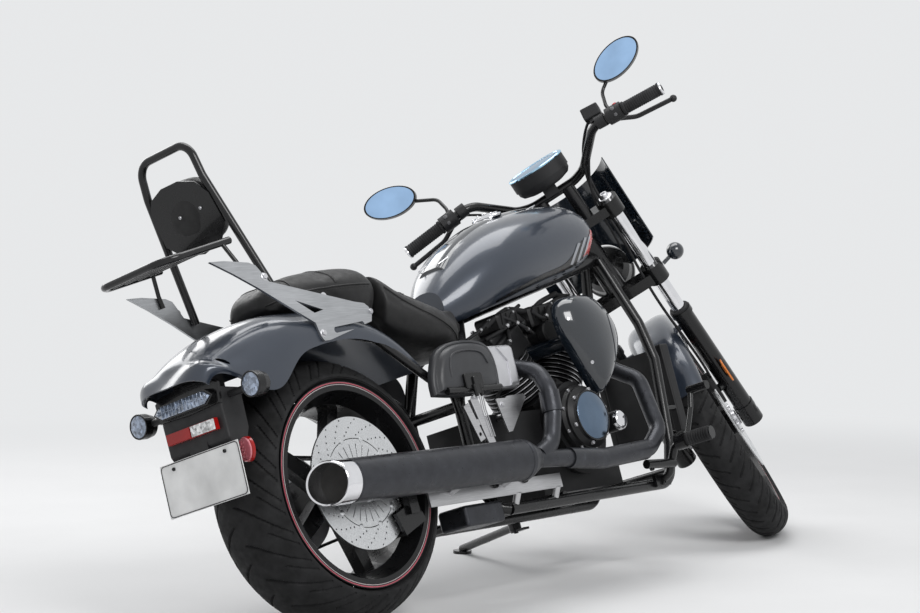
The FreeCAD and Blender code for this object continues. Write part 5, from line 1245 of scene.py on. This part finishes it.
def grip_sleeve(side):
    """Ribbed rubber between two collars."""
    end, way = bar_way(side)
    long = (BAR_END_Y - 4 - GRIP_Y) / abs(way.y)
    start = end - way * ((BAR_END_Y - GRIP_Y) / abs(way.y))
    profile = [(12.9, 0), (19, 0), (19.6, 2), (19.6, 6), (17, 8)]
    for index in range(15):
        at = 10 + index * 6.4
        if at < long - 9:
            profile += [(16.4, at), (17.4, at + 1.2), (17.4, at + 4.4), (16.4, at + 5.4)]
    profile += [(17, long - 6), (18.4, long - 4), (18.4, long), (12.9, long)]
    return turned(profile, start, way, 40, False)


# middle, across, up, half widths
GAUGE = Vector((1122, 0, 1116)), (0, 1, 0), Vector((-0.454, 0, 0.891)), 84, 54


def gauge_marks():
    """Scale under the gauge's glass, every third mark longer."""
    middle, across, up, wide, tall = GAUGE
    marks = []
    for step in range(25):
        turn = math.pi * (0.08 + 0.84 * step / 24)
        near, far = [middle + axes_matrix(across, up) @ Vector((tall * share * math.sin(turn),
                                                                wide * share * math.cos(turn), 20.6))
                     for share in (0.79 if step % 3 else 0.74, 0.86)]
        marks.append(swept([near, (near + far) / 2, far], 0.7, 5))
    return joined(*marks)


class CRUISER_OT_bars(bpy.types.Operator):
    """Make the grips, gauge, mirrors, switches and the fork's caps, seals and reflectors"""
    bl_idname = "cruiser.bars"
    bl_label = "Bars"

    def execute(self, context):
        grips = put("grip_sleeves", joined(grip_sleeve(RIGHT), grip_sleeve(LEFT)), "grip_rubber", "steering")
        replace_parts(grips, "grips")
        caps = []
        for side in (RIGHT, LEFT):
            end, way = bar_way(side)
            caps.append(turned([(12.9, -3.6), (17.6, -3.4), (18, -1), (16.5, 1.2), (9.5, 1.6), (9.2, -6), (0, -7)], end,
                               way, 40, False))
        put("bar_end_rings", joined(*caps), "chrome", "steering")
        bezel = oval([(0.99, 15), (1.02, 17), (1.02, 20), (0.99, 21.5), (0.93, 21.2), (0.9, 19.2)], *GAUGE, 72)
        bowl = oval([(0.97, -18), (0.95, -30), (0.86, -40), (0.6, -47), (0.02, -49)], *GAUGE, 56)
        put("gauge_bowl", bowl, "black_plastic", "steering")
        # the bezel's blue is a painted reflection of a blue sky
        put("gauge_bezel", (bezel[0], bezel[1][:-2]), "blued_chrome", "steering")
        glass = oval([(0.92, 17), (0.92, 19.4), (0.6, 20.2), (0.02, 20.4)], *GAUGE, 72)
        # the gauge glass's blue is a painted reflection of a blue sky
        put("gauge_glass", glass, "dial_glass", "steering")
        put("gauge_marks", gauge_marks(), "plate_white", "steering")
        glass, rims = [], []
        for side, y, z in ((RIGHT, 348, 1226), (LEFT, 384, 1236)):
            at = Vector((1000 - 7, side * y, z))
            tilt = side * math.radians(15)
            along = (0, math.cos(tilt), math.sin(tilt))
            glass.append(oval([(0.93, 0), (0.93, 0.6), (0.6, 0.9), (0.02, 1.0)], at, along, BACK, 76, 43, 56))
            ring = oval([(0.94, -0.5), (0.95, 1.4), (0.99, 1.6), (1.0, -0.5)], at, along, BACK, 76, 43, 56)
            rims.append((ring[0], ring[1][:-2]))
        # the mirror glass is blue as a painted reflection of a blue sky
        put("mirror_glass", joined(*glass), "mirror_glass", "steering")
        put("mirror_rims", joined(*rims), "gloss_black", "steering")
        buttons = []
        for side in (RIGHT, LEFT):
            end, way = bar_way(side)
            at = end - way * ((BAR_END_Y - SWITCH_Y) / abs(way.y))
            for turn, radius in ((0.35, 6), (-0.45, 5)):
                out = Vector((-math.cos(turn), 0, math.sin(turn)))
                profile = [(radius, -2), (radius, 2.4), (radius * 0.8, 3.2), (0, 3.4)]
                buttons.append(turned(profile, at + out * 23.4, out, 18))
        put("switch_buttons", joined(*buttons), "grey_plastic", "steering")
        end, way = bar_way(RIGHT)
        kill = turned([(6, -2), (6, 3), (4.6, 4), (0, 4)], end - way * 132 + Vector((-8, 0, 21)), (-0.35, 0, 0.94), 18)
        put("stop_switch", kill, "stripe_red", "steering")
        caps = [bolt(on_fork(828, side), FORK_AXIS, 12, 2) for side in (RIGHT, LEFT)]
        caps += [turned([(20.3, -6), (20.3, 1.5), (18, 3), (0, 3)], on_fork(826, side), FORK_AXIS, 36)
                 for side in (RIGHT, LEFT)]
        put("fork_caps", joined(*caps), "cast_alloy", "steering")
        seals = [turned([(20.8, 400), (26, 401), (29, 404), (29, 410), (24, 412), (20.8, 412)], on_fork(0, side),
                        FORK_AXIS, 40, False) for side in (RIGHT, LEFT)]
        put("fork_seals", joined(*seals), "grip_rubber", "steering")
        reflectors = []
        for side in (RIGHT, LEFT):
            at = on_fork(176, side) + Vector((-33, side * 14, -28))
            reflectors.append(placed(plate(rounded(24, 74, 6), 5, 1), at, FORK_AXIS, (0, side, 0)))
            reflectors.append(placed(plate(rounded(22, 30, 3), 4, 1), at + Vector((14, 0, 12)), FORK_AXIS,
                                     (0, -side, 0)))
        put("fork_reflectors", joined(*reflectors), "orange_lens", "steering")
        return {"FINISHED"}


CABLES = [
    # name, radius, points from end to end
    ("brake_hose", 4.0, [(1004, -196, 1122), (1044, -170, 1118), (1110, -120, 1070), (1190, -92, 1000),
                         (1262, -96, 880), (1330, -84, 780), (1420, -78, 680), (1520, -84, 570), (1590, -86, 480),
                         (1618, -78, 440)]),
    ("throttle_cable", 3.2, [(1000, -214, 1108), (1046, -182, 1100), (1114, -130, 1056), (1196, -84, 992),
                             (1262, -82, 900), (1300, -74, 850)]),
    ("switch_wires_right", 3.6, [(1006, -206, 1114), (1050, -176, 1108), (1116, -122, 1064), (1198, -100, 1000),
                                 (1268, -106, 890)]),
    ("clutch_cable", 3.4, [(992, 232, 1090), (1044, 190, 1080), (1110, 140, 1050), (1190, 88, 980), (1262, 62, 900)]),
]


def centre_line(curve):
    """The points that a curve's own line runs through."""
    plain = curve.copy()
    plain.bevel_depth = 0
    holder = bpy.data.objects.new("centre_line", plain)
    mesh = bpy.data.meshes.new_from_object(holder)
    line = [v.co.copy() for v in mesh.vertices]
    bpy.data.objects.remove(holder)
    bpy.data.curves.remove(plain)
    bpy.data.meshes.remove(mesh)
    return line


def cable(name, radius, points):
    """A sheathed cable or hose from the bars, held at both ends."""
    curve = bpy.data.curves.new(name, "CURVE")
    curve.dimensions = "3D"
    curve.resolution_u = 10
    curve.bevel_depth, curve.bevel_resolution = radius / 1000, 3
    curve.use_fill_caps = True
    spline = curve.splines.new("NURBS")
    spline.points.add(len(points) - 1)
    for point, place in zip(spline.points, points):
        point.co = (*(TURNED @ Vector(place)), 1)
    spline.order_u, spline.use_endpoint_u = 3, True
    curve.materials.append(FINISH["grip_rubber"])
    piece = bpy.data.objects.new(name, curve)
    bpy.context.scene.collection.objects.link(piece)
    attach(piece, "steering")
    line = centre_line(curve)


class CRUISER_OT_cables(bpy.types.Operator):
    """Make the brake hose and the cables from the bars"""
    bl_idname = "cruiser.cables"
    bl_label = "Cables"

    def execute(self, context):
        for name, radius, points in CABLES:
            cable(name, radius, points)
        return {"FINISHED"}


# Stage


def camera_from_photograph(settings):
    """The camera's place from the rear axle, and where it looks."""
    data = bpy.data.cameras.new("camera")
    camera = bpy.data.objects.new("camera", data)
    bpy.context.scene.collection.objects.link(camera)
    data.sensor_width = 36.0
    data.lens = settings.lens_length
    camera.location = Vector(JOINTS["rear_wheel_spin"]["pos_m"]) + CAMERA_FROM_AXLE
    camera.rotation_euler = LOOK.to_euler()
    bpy.context.scene.camera = camera


def area_lamp(name, place, aim, size, power):
    data = bpy.data.lights.new(name, "AREA")
    data.shape = "RECTANGLE"
    data.size, data.size_y = size
    data.energy = power
    lamp = bpy.data.objects.new(name, data)
    lamp.location = place
    lamp.rotation_euler = (Vector(aim) - Vector(place)).to_track_quat("-Z", "Y").to_euler()
    bpy.context.scene.collection.objects.link(lamp)


def pale_world(colour):
    """Soft light all round; what the camera, metal and glass see is the pale background."""
    world = bpy.data.worlds.new("studio")
    bpy.context.scene.world = world
    world.use_nodes = True
    nodes = world.node_tree.nodes
    light = nodes["Background"]
    light.inputs["Color"].default_value = (0.95, 0.97, 1.0, 1)
    light.inputs["Strength"].default_value = 0.4
    seen = linked(world, "Background", "Background", {"Color": (*colour, 1), "Strength": 1.0})
    path = nodes.new("ShaderNodeLightPath").outputs
    share = path["Is Camera Ray"]
    for ray in ("Is Transmission Ray", "Is Glossy Ray"):
        share = linked(world, "Math", "Value", {0: share, 1: path[ray]}, operation="MAXIMUM")
    mix = linked(world, "MixShader", "Shader", {0: share, 1: light.outputs[0], 2: seen})
    world.node_tree.links.new(mix, nodes["World Output"].inputs["Surface"])


BACKGROUND = (0.8, 0.81, 0.82)


def fade_far(material, colour):
    """Far from the motorcycle, let the floor run into the pale background."""
    place = linked(material, "TexCoord", "Object")
    away = linked(material, "VectorMath", "Value", {0: place}, operation="LENGTH")
    share = linked(material, "MapRange", "Result", {"From Min": 1.7, "From Max": 4.6, "Value": away},
                   interpolation_type="SMOOTHSTEP")
    pale = linked(material, "Emission", "Emission", {"Color": (*colour, 1)})
    mix = linked(material, "MixShader", "Shader", {0: share, 1: shader_of(material).outputs["BSDF"], 2: pale})
    tree = material.node_tree
    tree.links.new(mix, tree.nodes["Material Output"].inputs["Surface"])


class CRUISER_OT_stage(bpy.types.Operator):
    """Make the floor, the studio light and the camera"""
    bl_idname = "cruiser.stage"
    bl_label = "Stage"

    def execute(self, context):
        settings = context.scene.cruiser_stage
        scene = context.scene
        scene.view_settings.view_transform = "Standard"
        mesh = bpy.data.meshes.new("floor")
        mesh.from_pydata([(-60, -60, 0), (60, -60, 0), (60, 60, 0), (-60, 60, 0)], [], [(0, 1, 2, 3)])
        floor = bpy.data.objects.new("floor", mesh)
        scene.collection.objects.link(floor)
        finish = new_finish("floor_paper", tuple(settings.floor_colour), roughness=0.9)
        grain = noise(finish, 3, 4)
        tint(finish, grain, settings.floor_colour, (0.3, 0.97), (0.7, 1.0))
        gloss(finish, grain, 0.85, 0.95)
        fade_far(finish, BACKGROUND)
        mesh.materials.append(finish)
        pale_world(BACKGROUND)
        area_lamp("key", (-1.6, -3.6, 3.4), (0, -0.1, 0.5), (2.4, 1.8), settings.key_power)
        area_lamp("top", (0.4, 0.6, 4.2), (0, 0, 0.4), (3.6, 2.2), settings.key_power * 0.8)
        area_lamp("left", (0.5, 4.0, 2.6), (0, 0, 0.5), (3.0, 2.0), settings.key_power * 0.45)
        camera_from_photograph(settings)
        return {"FINISHED"}


OPERATORS = (CRUISER_OT_finishes, CRUISER_OT_seats, CRUISER_OT_wheels, CRUISER_OT_exhaust, CRUISER_OT_engine,
             CRUISER_OT_tank, CRUISER_OT_bay, CRUISER_OT_trim, CRUISER_OT_tail, CRUISER_OT_bars, CRUISER_OT_cables,
             CRUISER_OT_stage)


class CRUISER_PT_pieces(bpy.types.Panel):
    """Every piece of the motorcycle, in the order in which it is made"""
    bl_idname = "CRUISER_PT_pieces"
    bl_label = "Cruiser Motorcycle"
    bl_space_type = "VIEW_3D"
    bl_region_type = "UI"
    bl_category = "Cruiser"

    def draw(self, context):
        for operator in OPERATORS:
            self.layout.operator(operator.bl_idname)


SETTINGS = {"cruiser_paint": PaintSettings, "cruiser_stage": StageSettings}


def register():
    for kind in (*SETTINGS.values(), *OPERATORS, CRUISER_PT_pieces):
        bpy.utils.register_class(kind)
    for name, kind in SETTINGS.items():
        setattr(bpy.types.Scene, name, bpy.props.PointerProperty(type=kind))


def unregister():
    for name in SETTINGS:
        delattr(bpy.types.Scene, name)
    for kind in reversed((*SETTINGS.values(), *OPERATORS, CRUISER_PT_pieces)):
        bpy.utils.unregister_class(kind)


def main():
    register()
    for operator in OPERATORS:
        group, action = operator.bl_idname.split(".")
        getattr(getattr(bpy.ops, group), action)()


if __name__ == "__main__":
    main()
